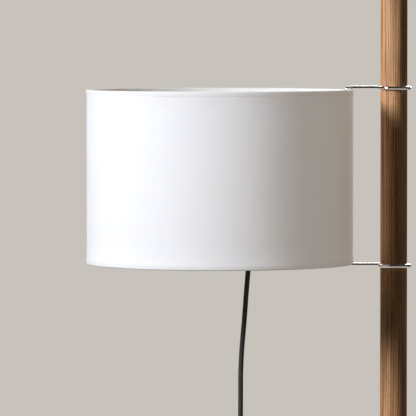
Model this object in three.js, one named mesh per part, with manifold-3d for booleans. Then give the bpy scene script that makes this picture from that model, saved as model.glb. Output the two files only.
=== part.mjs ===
// Tripod floor lamp: a drum shade on a wire carriage that slides and swings on a wooden pole.
// Millimetres, +Z up, +Y away from the viewer. The shade hangs on the -X side of the pole.
import * as THREE from "three";
import { mergeVertices } from "three/addons/utils/BufferGeometryUtils.js";
import Module from "manifold-3d";

// ---- Driving dimensions ----
const GAP = 0.3; // clearance between pieces that touch

const POLE_R = 20;
const POLE_TOP = 1660;
const POLE_SEAT = 205; // height of the pole's lower end inside the hub

const HUB_R = 48;
const HUB_BOTTOM = 140;
const HUB_TOP = 250;
const LEG_ANGLES = [0, 120, 240];
const LEG_SLOPE = 30; // degrees below horizontal
const LEG_ENTRY_Z = 165; // height of a leg's axis where it meets the hub's side
const LEG_TOP_R = 13;
const LEG_FOOT_R = 9;
const LEG_INNER = 22; // distance of a leg's upper end from the pole's axis
const LEG_SCREW_REACH = 38;
const PAD_REACH = 323;
const PAD_LONG = 20;
const PAD_WIDE = 11;
const PAD_HEIGHT = 6;

const SHADE_REACH = 260; // pole's axis to the shade's axis
const SHADE_TOP = 1320;
const SHADE_HEIGHT = 260;
const SHADE_R = 200; // over the edge binding
const DRUM_R = 199.3;
const DRUM_WALL = 1.3;
const RING_R = 196.1; // wire rings inside the drum's edges
const RING_WIRE_R = 1.4;
const RING_DEPTH = 2.2; // ring's axis below the drum's edge

const ROD_R = 2.5; // chromed wire of the carriage
const LOOP_R = 23.3; // middle of the wire round the pole
const LOOP_END = -157; // degrees, where the open loop ends
const ARM_OVER_RIM = 2.8; // arm's axis beyond the shade's edge
const ROD_BEND = 5;
const SPINE_X = -70.5; // vertical stretch inside the shade
const FERRULE_R = 5;
const FERRULE_HALF = 20;
const HOLDER_ARM_Z = -21; // below the shade's top

const CORD_R = 3.75;
const CORD_LIE = 4; // height of the cord's axis where it lies on the floor
const COIL_AT = [245.6, 115.2];
const COIL_INNER = 33.5;
const COIL_OUTER = 48.75;
const COIL_HEIGHT = 23;

const SWITCH_AT = [208.7, -95.6];
const SWITCH_TURN = 65; // degrees from +X
const SLEEVE_Z = 10; // height of the cord's way in and out of the switch
const PLUG_AT = [217, 160.2];
const PLUG_TURN = 180;
const PLUG_LIE = 8;

// The origin stands under the middle of the whole footprint.
const POLE_X = (SHADE_REACH + SHADE_R - PAD_REACH - PAD_LONG) / 2;

// ---- Materials ----
function finish(color, roughness, metalness) {
  return () => new THREE.MeshStandardMaterial({ color, roughness, metalness });
}
const walnut = finish(0x7a4e33, 0.5, 0);
const chrome = finish(0xd8dadc, 0.12, 1);
const steel = finish(0xa5a7aa, 0.35, 1);
const brass = finish(0xb8924a, 0.35, 1);
const fabric = finish(0xf4f3f0, 0.9, 0);
const binding = finish(0xece9df, 0.9, 0);
const whitePaint = finish(0xe9e9e6, 0.5, 0);
const blackPlastic = finish(0x1d1c1c, 0.45, 0);
const greyPlastic = finish(0x3a3837, 0.5, 0);
const darkRubber = finish(0x2a2828, 0.8, 0);
const cordSleeve = finish(0x3c3836, 0.8, 0);
const ceramic = finish(0xe8e4da, 0.4, 0);
const opalGlass = finish(0xf7f6f2, 0.3, 0);

// ---- Solids ----
const wasm = await Module();
wasm.setup();

const rad = THREE.MathUtils.degToRad;

// Position-only copy of a geometry with its shared corners merged.
function welded(geometry) {
  const bare = geometry.clone();
  bare.deleteAttribute("normal");
  bare.deleteAttribute("uv");
  return mergeVertices(bare, 1e-4);
}

function solidOf(geometry) {
  const shape = welded(geometry);
  return new wasm.Manifold(new wasm.Mesh({
    numProp: 3,
    vertProperties: new Float32Array(shape.attributes.position.array),
    triVerts: new Uint32Array(shape.index.array),
  }));
}

function geometryOf(solid) {
  const mesh = solid.getMesh();
  const geometry = new THREE.BufferGeometry();
  geometry.setAttribute("position", new THREE.BufferAttribute(mesh.vertProperties, 3));
  geometry.setIndex(new THREE.BufferAttribute(mesh.triVerts, 1));
  geometry.computeVertexNormals();
  return geometry;
}

function cut(body, ...tools) {
  return geometryOf(tools.reduce((left, tool) => left.subtract(solidOf(tool)), solidOf(body)));
}

function join(first, ...others) {
  return geometryOf(others.reduce((sum, other) => sum.add(solidOf(other)), solidOf(first)));
}

// Volume that the triangles enclose, negative when they face inwards.
function enclosed(geometry) {
  const shape = geometry.toNonIndexed().attributes.position;
  const [a, b, c] = [new THREE.Vector3(), new THREE.Vector3(), new THREE.Vector3()];
  let volume = 0;
  for (let i = 0; i < shape.count; i += 3) {
    a.fromBufferAttribute(shape, i);
    b.fromBufferAttribute(shape, i + 1);
    c.fromBufferAttribute(shape, i + 2);
    volume += a.dot(b.cross(c)) / 6;
  }
  return volume;
}

function facingOut(geometry) {
  if (enclosed(geometry) < 0) {
    geometry.index.array.forEach((corner, i, all) => {
      if (i % 3 === 2) {
        [all[i - 1], all[i]] = [all[i], all[i - 1]];
      }
    });
  }
  return geometry;
}

// A profile of [radius, height] points turned about Z.
function turned(profile, sides = 24) {
  const points = profile.map(([r, z]) => new THREE.Vector2(r, z));
  const shape = new THREE.LatheGeometry(points, sides);
  return facingOut(welded(shape).rotateX(Math.PI / 2));
}

// A rod from z = low to z = high.
function rod(radius, low, high, sides = 20) {
  return turned([[0, low], [radius, low], [radius, high], [0, high]], sides);
}

// A tube from z = low to z = high.
function pipe(inner, outer, low, high, sides = 20) {
  return turned([[inner, low], [outer, low], [outer, high], [inner, high], [inner, low]], sides);
}

// A wire ring about Z at the height z.
function wireRing(ringR, wireR, z, sides) {
  const profile = Array.from({ length: 7 }, (_, i) => {
    const turn = (i % 6) * Math.PI / 3;
    return [ringR + wireR * Math.cos(turn), z + wireR * Math.sin(turn)];
  });
  return turned(profile, sides);
}

// A flat outline raised from z = low to z = high.
function raised(outline, low, high) {
  const shape = new THREE.ExtrudeGeometry(outline, {
    depth: high - low,
    bevelEnabled: false,
    curveSegments: 4,
  });
  return shape.translate(0, 0, low);
}

function roundedRectangle(long, wide, corner) {
  const [x, y] = [long / 2 - corner, wide / 2 - corner];
  const outline = new THREE.Shape();
  outline.absarc(x, y, corner, 0, Math.PI / 2);
  outline.absarc(-x, y, corner, Math.PI / 2, Math.PI);
  outline.absarc(-x, -y, corner, Math.PI, 1.5 * Math.PI);
  outline.absarc(x, -y, corner, 1.5 * Math.PI, 2 * Math.PI);
  return outline;
}

function regularPolygon(radius, sides) {
  const corners = Array.from({ length: sides }, (_, i) => {
    const turn = 2 * Math.PI * i / sides;
    return new THREE.Vector2(radius * Math.cos(turn), radius * Math.sin(turn));
  });
  return new THREE.Shape(corners);
}

// A path that puts one ring of a tube at each of its points, so a straight run costs a single step.
class Route extends THREE.Curve {
  constructor(points) {
    super();
    this.points = points.map((p) => new THREE.Vector3(...p));
  }

  get steps() {
    return this.points.length - 1;
  }

  getPointAt(u) {
    return this.points[Math.round(u * this.steps)].clone();
  }

  getTangentAt(u) {
    const i = Math.round(u * this.steps);
    const before = this.points[Math.max(i - 1, 0)];
    const after = this.points[Math.min(i + 1, this.steps)];
    return after.clone().sub(before).normalize();
  }
}

function tube(points, radius, sides = 8) {
  const route = new Route(points);
  const section = regularPolygon(radius, sides);
  const shape = new THREE.ExtrudeGeometry(section, { steps: route.steps, extrudePath: route });
  return facingOut(welded(shape));
}

// Evenly spaced points along a smooth curve through the given points.
function smooth(points, steps) {
  const curve = new THREE.CatmullRomCurve3(points.map((p) => new THREE.Vector3(...p)), false, "centripetal");
  return curve.getSpacedPoints(steps).map((p) => p.toArray());
}

// ---- The assembly ----
const lamp = new THREE.Group();
lamp.position.x = POLE_X;

function place(name, geometry, material, parent = lamp) {
  const mesh = new THREE.Mesh(geometry, material());
  mesh.name = name;
  parent.add(mesh);
  return mesh;
}

function group(parent, x, y, z, turnZ = 0) {
  const made = new THREE.Group();
  made.position.set(x, y, z);
  made.rotation.z = rad(turnZ);
  parent.add(made);
  return made;
}

// ---- Pole and its fixing in the hub ----
const POLE_SIDES = 36;
const POLE_EDGE = 3; // how far the top edge is rounded
const INSERT_R = 6;
const INSERT_TOP = 233;
const BOLT_R = 4;
const BOLT_TOP = 230;
const BOLT_HEAD_R = 7.5; // to the corners of the hexagon
const BOLT_HEAD_TALL = 5.5;
const WASHER_R = 10;
const WASHER_THICK = 1.6;
const RECESS_R = 11; // recess for the bolt's head in the hub's underside
const RECESS_TOP = 152;

function addPole() {
  const foot = POLE_SEAT + GAP;
  const corner = 0.3 * POLE_EDGE;
  const dowel = turned([
    [0, foot], [POLE_R, foot], [POLE_R, POLE_TOP - POLE_EDGE],
    [POLE_R - corner, POLE_TOP - corner], [POLE_R - POLE_EDGE, POLE_TOP], [0, POLE_TOP],
  ], POLE_SIDES);
  place("pole", cut(dowel, rod(INSERT_R + GAP, 0, INSERT_TOP + 4)), walnut);
  place("pole_insert", pipe(BOLT_R + GAP, INSERT_R, foot + GAP, INSERT_TOP), brass);

  const washerFoot = RECESS_TOP - GAP - WASHER_THICK;
  const headTop = washerFoot - GAP;
  const head = raised(regularPolygon(BOLT_HEAD_R, 6), headTop - BOLT_HEAD_TALL, headTop);
  place("pole_bolt", join(head, rod(BOLT_R, headTop - 1, BOLT_TOP)), steel);
  place("bolt_washer", pipe(BOLT_R + GAP, WASHER_R, washerFoot, RECESS_TOP - GAP), steel);
}

// ---- Hub and the three splayed legs ----
const SLOPE = rad(LEG_SLOPE);
const LEG_LENGTH = 360;
const SOCKET_DEPTH = (HUB_R - LEG_INNER) / Math.cos(SLOPE);
const SCREW_HEAD_R = 4.6;
const SCREW_SHANK_R = 2.2;
const SCREW_LONG = 31;

// Turns a shape made along +Z to a leg's axis, starting at the leg's upper end.
function alongLeg(shape) {
  shape.rotateY(Math.PI / 2 + SLOPE);
  const rise = (HUB_R - LEG_INNER) * Math.tan(SLOPE);
  return shape.translate(LEG_INNER, 0, LEG_ENTRY_Z + rise);
}

function addHub() {
  const body = turned([
    [0, HUB_BOTTOM], [HUB_R - 4, HUB_BOTTOM], [HUB_R, HUB_BOTTOM + 4], [HUB_R, HUB_BOTTOM + 50],
    [HUB_R - 3, HUB_BOTTOM + 66], [HUB_R - 11, HUB_BOTTOM + 84], [HUB_R - 16, HUB_TOP - 8],
    [HUB_R - 18, HUB_TOP], [0, HUB_TOP],
  ], POLE_SIDES);
  const recess = rod(RECESS_R, HUB_BOTTOM - 1, RECESS_TOP);
  const boltHole = rod(BOLT_R + GAP, RECESS_TOP - 1, POLE_SEAT + 1);
  const poleSocket = rod(POLE_R + GAP, POLE_SEAT, HUB_TOP + 1, POLE_SIDES);
  const perLeg = LEG_ANGLES.flatMap((angle) => [
    alongLeg(rod(LEG_TOP_R + GAP, -GAP, SOCKET_DEPTH + 30)).rotateZ(rad(angle)),
    legScrewShape(GAP, HUB_BOTTOM - 1).rotateZ(rad(angle)),
  ]);
  place("hub", cut(body, recess, boltHole, poleSocket, ...perLeg), walnut);
}

// A countersunk screw, up from the hub's underside into a leg. The allowance makes its hole.
function legScrewShape(allowance, bottom) {
  const [shank, head] = [SCREW_SHANK_R + allowance, SCREW_HEAD_R + allowance];
  const top = HUB_BOTTOM + SCREW_LONG + allowance;
  return turned([
    [0, bottom], [head, bottom], [head, HUB_BOTTOM + 0.8], [shank, HUB_BOTTOM + 3.4],
    [shank, top - 3], [0, top],
  ], 12).translate(LEG_SCREW_REACH, 0, 0);
}

function legShape() {
  const dowel = turned([
    [0, 0], [LEG_TOP_R, 0], [LEG_TOP_R, SOCKET_DEPTH + 20], [LEG_TOP_R - 1.6, LEG_LENGTH * 0.6],
    [LEG_FOOT_R, LEG_LENGTH + 20], [0, LEG_LENGTH + 20],
  ], 24);
  const floor = new THREE.BoxGeometry(900, 900, 200).translate(0, 0, PAD_HEIGHT + GAP - 100);
  return cut(alongLeg(dowel), floor, legScrewShape(GAP, HUB_BOTTOM - 1));
}

function addLegs() {
  const leg = legShape();
  const screw = legScrewShape(0, HUB_BOTTOM + 0.4);
  const oval = rod(1, 0, PAD_HEIGHT).scale(PAD_LONG, PAD_WIDE, 1).translate(PAD_REACH, 0, 0);
  LEG_ANGLES.forEach((angle, i) => {
    const spoke = group(lamp, 0, 0, 0, angle);
    place(`leg_${i + 1}`, leg, walnut, spoke);
    place(`leg_screw_${i + 1}`, screw, steel, spoke);
    place(`foot_pad_${i + 1}`, oval, darkRubber, spoke);
  });
}

// ---- Wire carriage ----
const shadeLevel = group(lamp, 0, 0, SHADE_TOP);

// Points of an arc: middle + radius (cos, sin) in the plane of the two directions.
function arc(middle, radius, from, to, steps, across, up) {
  return Array.from({ length: steps + 1 }, (_, i) => {
    const turn = rad(from + (to - from) * i / steps);
    return middle.map((m, k) => m + radius * (Math.cos(turn) * across[k] + Math.sin(turn) * up[k]));
  });
}

// One bent rod: an open loop round the pole, the arm, and half of the spine. side is 1 for the
// upper rod, which passes over the shade's top edge, and -1 for the lower one.
function carriageRod(side) {
  const edge = side > 0 ? 0 : -SHADE_HEIGHT;
  const z = edge + side * ARM_OVER_RIM;
  const middle = -SHADE_HEIGHT / 2 + side * 0.5;
  return tube([
    ...arc([0, 0, z], LOOP_R, LOOP_END, 90, 19, [1, 0, 0], [0, 1, 0]),
    ...arc([SPINE_X + ROD_BEND, LOOP_R, z - side * ROD_BEND], ROD_BEND, 90, 180, 5, [1, 0, 0], [0, 0, side]),
    [SPINE_X, LOOP_R, middle],
  ], ROD_R);
}

const FERRULE_SCREWS = [-10, 10]; // heights of the two screws about the ferrule's middle
const SET_SCREW_R = 1.5;
const SET_SCREW_HOLE_R = 1.8;

function addCarriage() {
  place("upper_rod", carriageRod(1), chrome, shadeLevel);
  place("lower_rod", carriageRod(-1), chrome, shadeLevel);

  const joint = group(shadeLevel, SPINE_X, LOOP_R, -SHADE_HEIGHT / 2);
  const sideways = (shape, z) => shape.rotateX(Math.PI / 2).translate(0, 0, z);
  const sleeve = pipe(ROD_R + GAP, FERRULE_R, -FERRULE_HALF, FERRULE_HALF);
  const holes = FERRULE_SCREWS.map((z) => sideways(rod(SET_SCREW_HOLE_R, 0, FERRULE_R + 3, 12), z));
  place("spine_ferrule", cut(sleeve, ...holes), chrome, joint);
  FERRULE_SCREWS.forEach((z, i) => {
    const screw = rod(SET_SCREW_R, ROD_R + GAP, FERRULE_R + 0.4, 12);
    place(`ferrule_screw_${i + 1}`, sideways(screw, z), steel, joint);
  });
}

// ---- Holder arm: a rod from the spine to the shade's axis, ending in an eyelet ----
const ARM_LENGTH = Math.hypot(SHADE_REACH + SPINE_X, LOOP_R);
const ARM_TURN = 180 + THREE.MathUtils.radToDeg(Math.atan2(LOOP_R, SHADE_REACH + SPINE_X));
const EYELET_R = 11;
const EYELET_HALF = 2.5;
const NIPPLE_R = 5;
const BLOCK_LONG = 22;
const BLOCK_WIDE = 12;
const BLOCK_HALF = 8; // half its height
const BLOCK_AHEAD = 5; // its middle lies this far along the arm
const TOP_SCREW_AT = 11;

function addHolderArm() {
  const arm = group(shadeLevel, SPINE_X, LOOP_R, HOLDER_ARM_Z, ARM_TURN);
  const alongX = (shape) => shape.rotateY(Math.PI / 2);

  const outline = roundedRectangle(BLOCK_LONG, BLOCK_WIDE, 5);
  const block = raised(outline, -BLOCK_HALF, BLOCK_HALF).translate(BLOCK_AHEAD, 0, 0);
  const spineBore = rod(ROD_R + GAP, -BLOCK_HALF - 1, BLOCK_HALF + 1);
  const armBore = alongX(rod(ROD_R + GAP, 3.2, BLOCK_AHEAD + BLOCK_LONG / 2 + 2));
  const topHole = rod(SET_SCREW_HOLE_R, 0, BLOCK_HALF + 1, 12).translate(TOP_SCREW_AT, 0, 0);
  const sideHole = rod(SET_SCREW_HOLE_R, 0, BLOCK_HALF + 1, 12).rotateX(Math.PI / 2);
  place("arm_block", cut(block, spineBore, armBore, topHole, sideHole), chrome, arm);
  const topScrew = rod(SET_SCREW_R, ROD_R + GAP, BLOCK_HALF + 0.4, 12).translate(TOP_SCREW_AT, 0, 0);
  const sideScrew = rod(SET_SCREW_R, ROD_R + GAP, BLOCK_WIDE / 2 + 0.4, 12).rotateX(Math.PI / 2);
  place("block_screw_1", topScrew, steel, arm);
  place("block_screw_2", sideScrew, steel, arm);

  const eye = rod(EYELET_R, -EYELET_HALF, EYELET_HALF).translate(ARM_LENGTH, 0, 0);
  const eyeHole = rod(NIPPLE_R + GAP, -EYELET_HALF - 1, EYELET_HALF + 1).translate(ARM_LENGTH, 0, 0);
  const bar = alongX(rod(ROD_R, 3.5, ARM_LENGTH - EYELET_R + 3, 16));
  place("holder_arm", cut(join(bar, eye), eyeHole), chrome, arm);
}

// ---- Lampholder, cap up, with a side outlet for the cord ----
const holder = group(shadeLevel, -SHADE_REACH, 0, 0);
const OUTLET_AT = [20, -38];
const OUTLET_TURN = 135; // degrees from +Z towards +X
const GLAND_LENGTH = 24;

// The profiles below are [radius, height below the shade's top edge].
const NIPPLE_BORE = 3.2;
const CAP_OUTSIDE = [
  [NIPPLE_R + GAP, -23.8], [10, -23.8], [16, -26.6], [19.2, -31], [20, -37], [20, -48],
];
const CAP_INSIDE = [
  [17.8, -48], [17.8, -37], [17, -32], [14.6, -28.6], [9.5, -26], [NIPPLE_R + GAP, -26],
];
const SHELL_R = 19.5;
const SHELL_BORE = 17.2;
const SHELL_TOP = -48.3;
const SHELL_FOOT = -92;
const FLANGE_R = 24;
const [FLANGE_TOP, FLANGE_FOOT] = [-57, -60];

// A hexagonal nut on the nipple.
function nippleNut(across, low, high) {
  return cut(raised(regularPolygon(across, 6), low, high), rod(NIPPLE_R + GAP, low - 1, high + 1));
}

// Turns a shape made along +Z to the cord outlet's axis.
function atOutlet(shape) {
  return shape.rotateY(rad(OUTLET_TURN)).translate(OUTLET_AT[0], 0, OUTLET_AT[1]);
}

function addHolder() {
  place("holder_nipple", pipe(NIPPLE_BORE, NIPPLE_R, -34, -12), steel, holder);
  place("holder_top_nut", nippleNut(9.8, -18.2, -13.2), chrome, holder);
  place("holder_lock_nut", nippleNut(8.5, -31, -27), steel, holder);

  const cap = turned([...CAP_OUTSIDE, ...CAP_INSIDE, CAP_OUTSIDE[0]]);
  place("holder_cap", cut(cap, atOutlet(rod(6.4, -9, 9, 16))), whitePaint, holder);
  const gland = turned([
    [0, -6], [6, -6], [6, 4], [5.6, 10], [4.6, GLAND_LENGTH], [0, GLAND_LENGTH],
  ], 16);
  place("cord_gland", atOutlet(gland), darkRubber, holder);

  const shell = turned([
    [SHELL_BORE, SHELL_TOP], [SHELL_R, SHELL_TOP], [SHELL_R, FLANGE_TOP], [FLANGE_R, FLANGE_TOP],
    [FLANGE_R, FLANGE_FOOT], [SHELL_R, FLANGE_FOOT], [SHELL_R, SHELL_FOOT], [SHELL_BORE, SHELL_FOOT],
    [SHELL_BORE, SHELL_TOP],
  ]);
  place("holder_shell", shell, whitePaint, holder);
  place("holder_core", cut(rod(SHELL_BORE - GAP, -66, -50), rod(4.3, -67, -60)), ceramic, holder);
  place("centre_contact", rod(4, -69.5, -60.3, 16), brass, holder);
  place("screw_shell", pipe(13.9, 14.7, -90, -66.3), brass, holder);
  place("shade_ring_nut", pipe(SHELL_R + GAP, 24.2, -70.6, -62.6), whitePaint, holder);
}

// ---- Bulb, hanging from the lampholder ----
const BULB_CAP = [
  [11.9, -73], [13, -74], [13.4, -78], [12.9, -81], [13.4, -84], [12.9, -87], [13.4, -90],
  [13.4, -97], [12.3, -97], [11.9, -73],
];
const BULB_INSULATOR = [[0, -71.6], [5, -71.6], [11.6, -73], [11.6, -76], [0, -76]];
const BULB_TIP = [[0, -69.8], [3, -70.3], [4, -71.3], [0, -71.3]];
const GLASS_OUTSIDE = [
  [11.5, -90], [11.5, -97.3], [13.4, -97.6], [16, -104], [23, -119], [28.5, -133], [30, -146],
  [27, -161], [18, -173.5], [0, -179],
];
const GLASS_INSIDE = [
  [0, -178], [17.4, -172.7], [26.1, -160.6], [29, -146], [27.5, -133.4], [22, -119.6], [14.9, -104.6],
  [10.5, -96], [10.5, -90],
];

function addBulb() {
  place("bulb_cap", turned(BULB_CAP), steel, holder);
  place("bulb_insulator", turned(BULB_INSULATOR), blackPlastic, holder);
  place("bulb_tip", turned(BULB_TIP, 16), brass, holder);
  place("bulb_glass", turned([...GLASS_OUTSIDE, ...GLASS_INSIDE, GLASS_OUTSIDE[0]]), opalGlass, holder);
}

// ---- Shade ----
const SHADE_SIDES = 48;
const SPOKE_ANGLES = [60, 180, 300];
const FITTER_Z = -61.3;
const FITTER_HALF = 1;
const FITTER_HOLE_R = 20.3;
const FITTER_R = 27;
const TAPE_DOWN = 7; // how far the tape reaches down outside
const DRUM_BELOW_EDGE = 0.7;

// Cloth tape folded over the drum's top edge and its wire ring.
function bindingShape() {
  const tape = 0.4;
  const [outer, inner] = [SHADE_R, RING_R - RING_WIRE_R - GAP];
  const fold = 2;
  const corner = RING_R - 0.1;
  const insideFold = [90, 135, 180].map((degrees) => [
    corner + fold * Math.cos(rad(degrees)), fold * Math.sin(rad(degrees)) - fold,
  ]);
  const underFold = [180, 135, 90].map((degrees) => [
    corner + (fold - tape) * Math.cos(rad(degrees)), (fold - tape) * Math.sin(rad(degrees)) - fold,
  ]);
  return turned([
    [outer, -TAPE_DOWN], [outer, -0.8], [outer - 0.8, 0], ...insideFold,
    [inner - tape, 1 - TAPE_DOWN], [inner, 1 - TAPE_DOWN],
    ...underFold, [outer - 0.8, -tape], [outer - tape, -0.8], [outer - tape, -TAPE_DOWN], [outer, -TAPE_DOWN],
  ], SHADE_SIDES);
}

function addShade() {
  const [drumFoot, drumTop] = [DRUM_BELOW_EDGE - SHADE_HEIGHT, -DRUM_BELOW_EDGE];
  const drum = pipe(DRUM_R - DRUM_WALL, DRUM_R, drumFoot, drumTop, SHADE_SIDES);
  place("shade_drum", drum, fabric, holder);

  place("binding_top", bindingShape(), binding, holder);
  const lower = place("binding_bottom", bindingShape(), binding, holder);
  lower.rotation.x = Math.PI;
  lower.position.z = -SHADE_HEIGHT;

  place("shade_ring_top", wireRing(RING_R, RING_WIRE_R, -RING_DEPTH, SHADE_SIDES), whitePaint, holder);
  place("shade_ring_bottom", wireRing(RING_R, RING_WIRE_R, RING_DEPTH - SHADE_HEIGHT, SHADE_SIDES),
    whitePaint, holder);

  // The fitter washer and its three spokes are welded into one spider.
  const spokes = SPOKE_ANGLES.map((angle) => tube([
    [24.6, 0, FITTER_Z],
    ...arc([RING_R - ROD_BEND, 0, FITTER_Z + ROD_BEND], ROD_BEND, -90, 0, 4, [1, 0, 0], [0, 0, 1]),
    [RING_R, 0, -RING_DEPTH - RING_WIRE_R - GAP],
  ], RING_WIRE_R).rotateZ(rad(angle)));
  const fitter = pipe(FITTER_HOLE_R, FITTER_R, FITTER_Z - FITTER_HALF, FITTER_Z + FITTER_HALF);
  place("shade_spider", join(fitter, ...spokes), whitePaint, holder);
}

// ---- Cord: down from the lampholder, round the floor under the legs, to the foot switch ----
const FLOOR_LEAD_FROM = 60; // height where the hanging cord meets the floor lead

const HANGING_ROUTE = [
  [-222.8, 0, 1264.8], [-217.5, 0, 1259.5], [-212.8, 0, 1254.6], [-208.9, 0, 1249.9], [-205.9, 0, 1244.5],
  [-204.1, 0, 1238.6], [-203.5, 0, 1232], [-203.6, 0, 1222], [-204.6, 0, 1200], [-207.8, 0, 1160], [-211.5, 0, 1120], [-216, 0, 1070],
  [-220.2, 0, 1020], [-223.5, 0, 975], [-226.9, 0, 935], [-228.7, 0, 900], [-229, 0, 850],
  [-229.4, 0, 780], [-229.4, 0, 640], [-229.4, 0, 480], [-229.4, 0, 320], [-229.4, 0, 180],
  [-229.4, 0, FLOOR_LEAD_FROM],
];
const FLOOR_ROUTE = [
  [-229.4, 0, FLOOR_LEAD_FROM - GAP], [-229.4, -0.2, 48], [-229.4, -1, 37], [-229.3, -3.9, 25.2],
  [-229.1, -11, 14.4], [-228.7, -21.6, 7.1], [-228, -34.5, 4.2], [-225.8, -50, CORD_LIE],
  [-219.6, -75, CORD_LIE], [-206, -108, CORD_LIE], [-184, -142, CORD_LIE],
  [-155, -171, CORD_LIE], [-119, -195, CORD_LIE], [-78, -214, CORD_LIE], [-34, -227, CORD_LIE],
  [12, -232, CORD_LIE], [56, -229.5, CORD_LIE], [98, -220, CORD_LIE], [132, -205.5, CORD_LIE],
  [153, -192.5, 4.9], [166.5, -182, 7.4], [173.9, -170.2, 9.5], [179, -159.3, SLEEVE_Z],
];
const TAIL_ROUTE = [
  [238.6, -31.5, SLEEVE_Z], [242.6, -22.9, 9.5], [249, -9, 7], [256, 8.5, 4.6], [262.3, 26, CORD_LIE],
  [268.4, 45.2, CORD_LIE], [274.6, 68.2, CORD_LIE],
];

function addCord() {
  place("cord_hanging", tube(smooth(HANGING_ROUTE, 52), CORD_R), cordSleeve);
  place("cord_floor", tube(smooth(FLOOR_ROUTE, 32), CORD_R), cordSleeve);
  place("cord_tail", tube(smooth(TAIL_ROUTE, 6), CORD_R), cordSleeve);

  const coil = group(lamp, COIL_AT[0], COIL_AT[1], 0);
  place("cord_coil", pipe(COIL_INNER, COIL_OUTER, GAP, COIL_HEIGHT, 32), cordSleeve, coil);
}

// ---- Foot switch on the cord ----
const SWITCH_LONG = 88;
const SWITCH_WIDE = 36;
const SWITCH_CORNER = 12;
const TRAY_TOP = 4;
const COVER_TOP = 22;
const COVER_WALL = 2.5;
const BUTTON_R = 11;
const SLEEVE_R = 5;
const SWITCH_SCREW_REACH = 30;
const BOSS_R = 4;
const BOSS_BORE = 1.5;
const SWITCH_SCREW = [[0, 0.3], [1.7, 0.3], [1.7, 3.7], [1.2, 3.7], [1.2, 12], [0, 12]];
const BUTTON = [
  [0, 14.5], [7.6, 14.5], [7.6, 13], [13, 13], [13, 15.5], [BUTTON_R, 15.5], [BUTTON_R, 25],
  [9.4, 26.4], [5, 27], [0, 27.2],
];
const SPRING_R = 5.4;
const SPRING_WIRE_R = 0.5;
const [SPRING_FOOT, SPRING_TOP] = [3.1, 13.6];
const SPRING_COILS = 4;
const STEPS_PER_COIL = 9;

function addSwitch() {
  const body = group(lamp, SWITCH_AT[0], SWITCH_AT[1], 0, SWITCH_TURN);
  const alongX = (shape, x, z) => shape.rotateY(Math.PI / 2).translate(x, 0, z);
  const screwSpots = [-SWITCH_SCREW_REACH, SWITCH_SCREW_REACH];

  const tray = raised(roundedRectangle(SWITCH_LONG, SWITCH_WIDE, SWITCH_CORNER), 0, TRAY_TOP);
  const screwHoles = screwSpots.map((x) => rod(2, -1, TRAY_TOP + 1, 12).translate(x, 0, 0));
  const sleeveHoles = [-1, 1].map((end) => (
    alongX(rod(SLEEVE_R + GAP, -8, 8, 16), end * SWITCH_LONG / 2, SLEEVE_Z)
  ));
  const recess = rod(6.6, 2, TRAY_TOP + 1, 16);
  place("switch_base", cut(tray, recess, ...screwHoles), greyPlastic, body);

  const outside = raised(
    roundedRectangle(SWITCH_LONG, SWITCH_WIDE, SWITCH_CORNER),
    TRAY_TOP + GAP, COVER_TOP,
  );
  const inside = raised(
    roundedRectangle(SWITCH_LONG - 2 * COVER_WALL, SWITCH_WIDE - 2 * COVER_WALL, SWITCH_CORNER - 2),
    TRAY_TOP, COVER_TOP - COVER_WALL,
  );
  const shell = cut(outside, inside, rod(BUTTON_R + GAP, TRAY_TOP, COVER_TOP + 1), ...sleeveHoles);
  const bosses = screwSpots.map((x) => pipe(BOSS_BORE, BOSS_R, 6, COVER_TOP - 1, 12).translate(x, 0, 0));
  place("switch_cover", join(shell, ...bosses), greyPlastic, body);
  screwSpots.forEach((x, i) => {
    place(`switch_screw_${i + 1}`, turned(SWITCH_SCREW, 12).translate(x, 0, 0), steel, body);
  });

  place("switch_button", turned(BUTTON), blackPlastic, body);
  const steps = SPRING_COILS * STEPS_PER_COIL;
  const helix = Array.from({ length: steps + 1 }, (_, i) => {
    const turn = 2 * Math.PI * i / STEPS_PER_COIL;
    const z = SPRING_FOOT + (SPRING_TOP - SPRING_FOOT) * i / steps;
    return [SPRING_R * Math.cos(turn), SPRING_R * Math.sin(turn), z];
  });
  place("button_spring", tube(helix, SPRING_WIRE_R, 6), steel, body);
  place("contact_block", raised(roundedRectangle(12, 20, 2), 4.3, 12).translate(-19, 0, 0), ceramic, body);

  // Tapered rubber sleeves where the cord enters and leaves.
  const sleeve = () => turned([
    [0, -5], [SLEEVE_R, -5], [SLEEVE_R, 3], [4.6, 6], [4.1, 26], [0, 26],
  ], 16);
  place("switch_sleeve_out", alongX(sleeve(), SWITCH_LONG / 2, SLEEVE_Z), darkRubber, body);
  place("switch_sleeve_in", alongX(sleeve(), SWITCH_LONG / 2, SLEEVE_Z).rotateZ(Math.PI), darkRubber, body);
}

// ---- Two-pin plug beside the coil ----
const PLUG_FACE = 60; // distance from the cord's way in to the face with the pins
const PLUG_HALF_TALL = 7;
const PIN_R = 2;
const PIN_LONG = 19;
const PIN_APART = 19;

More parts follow.
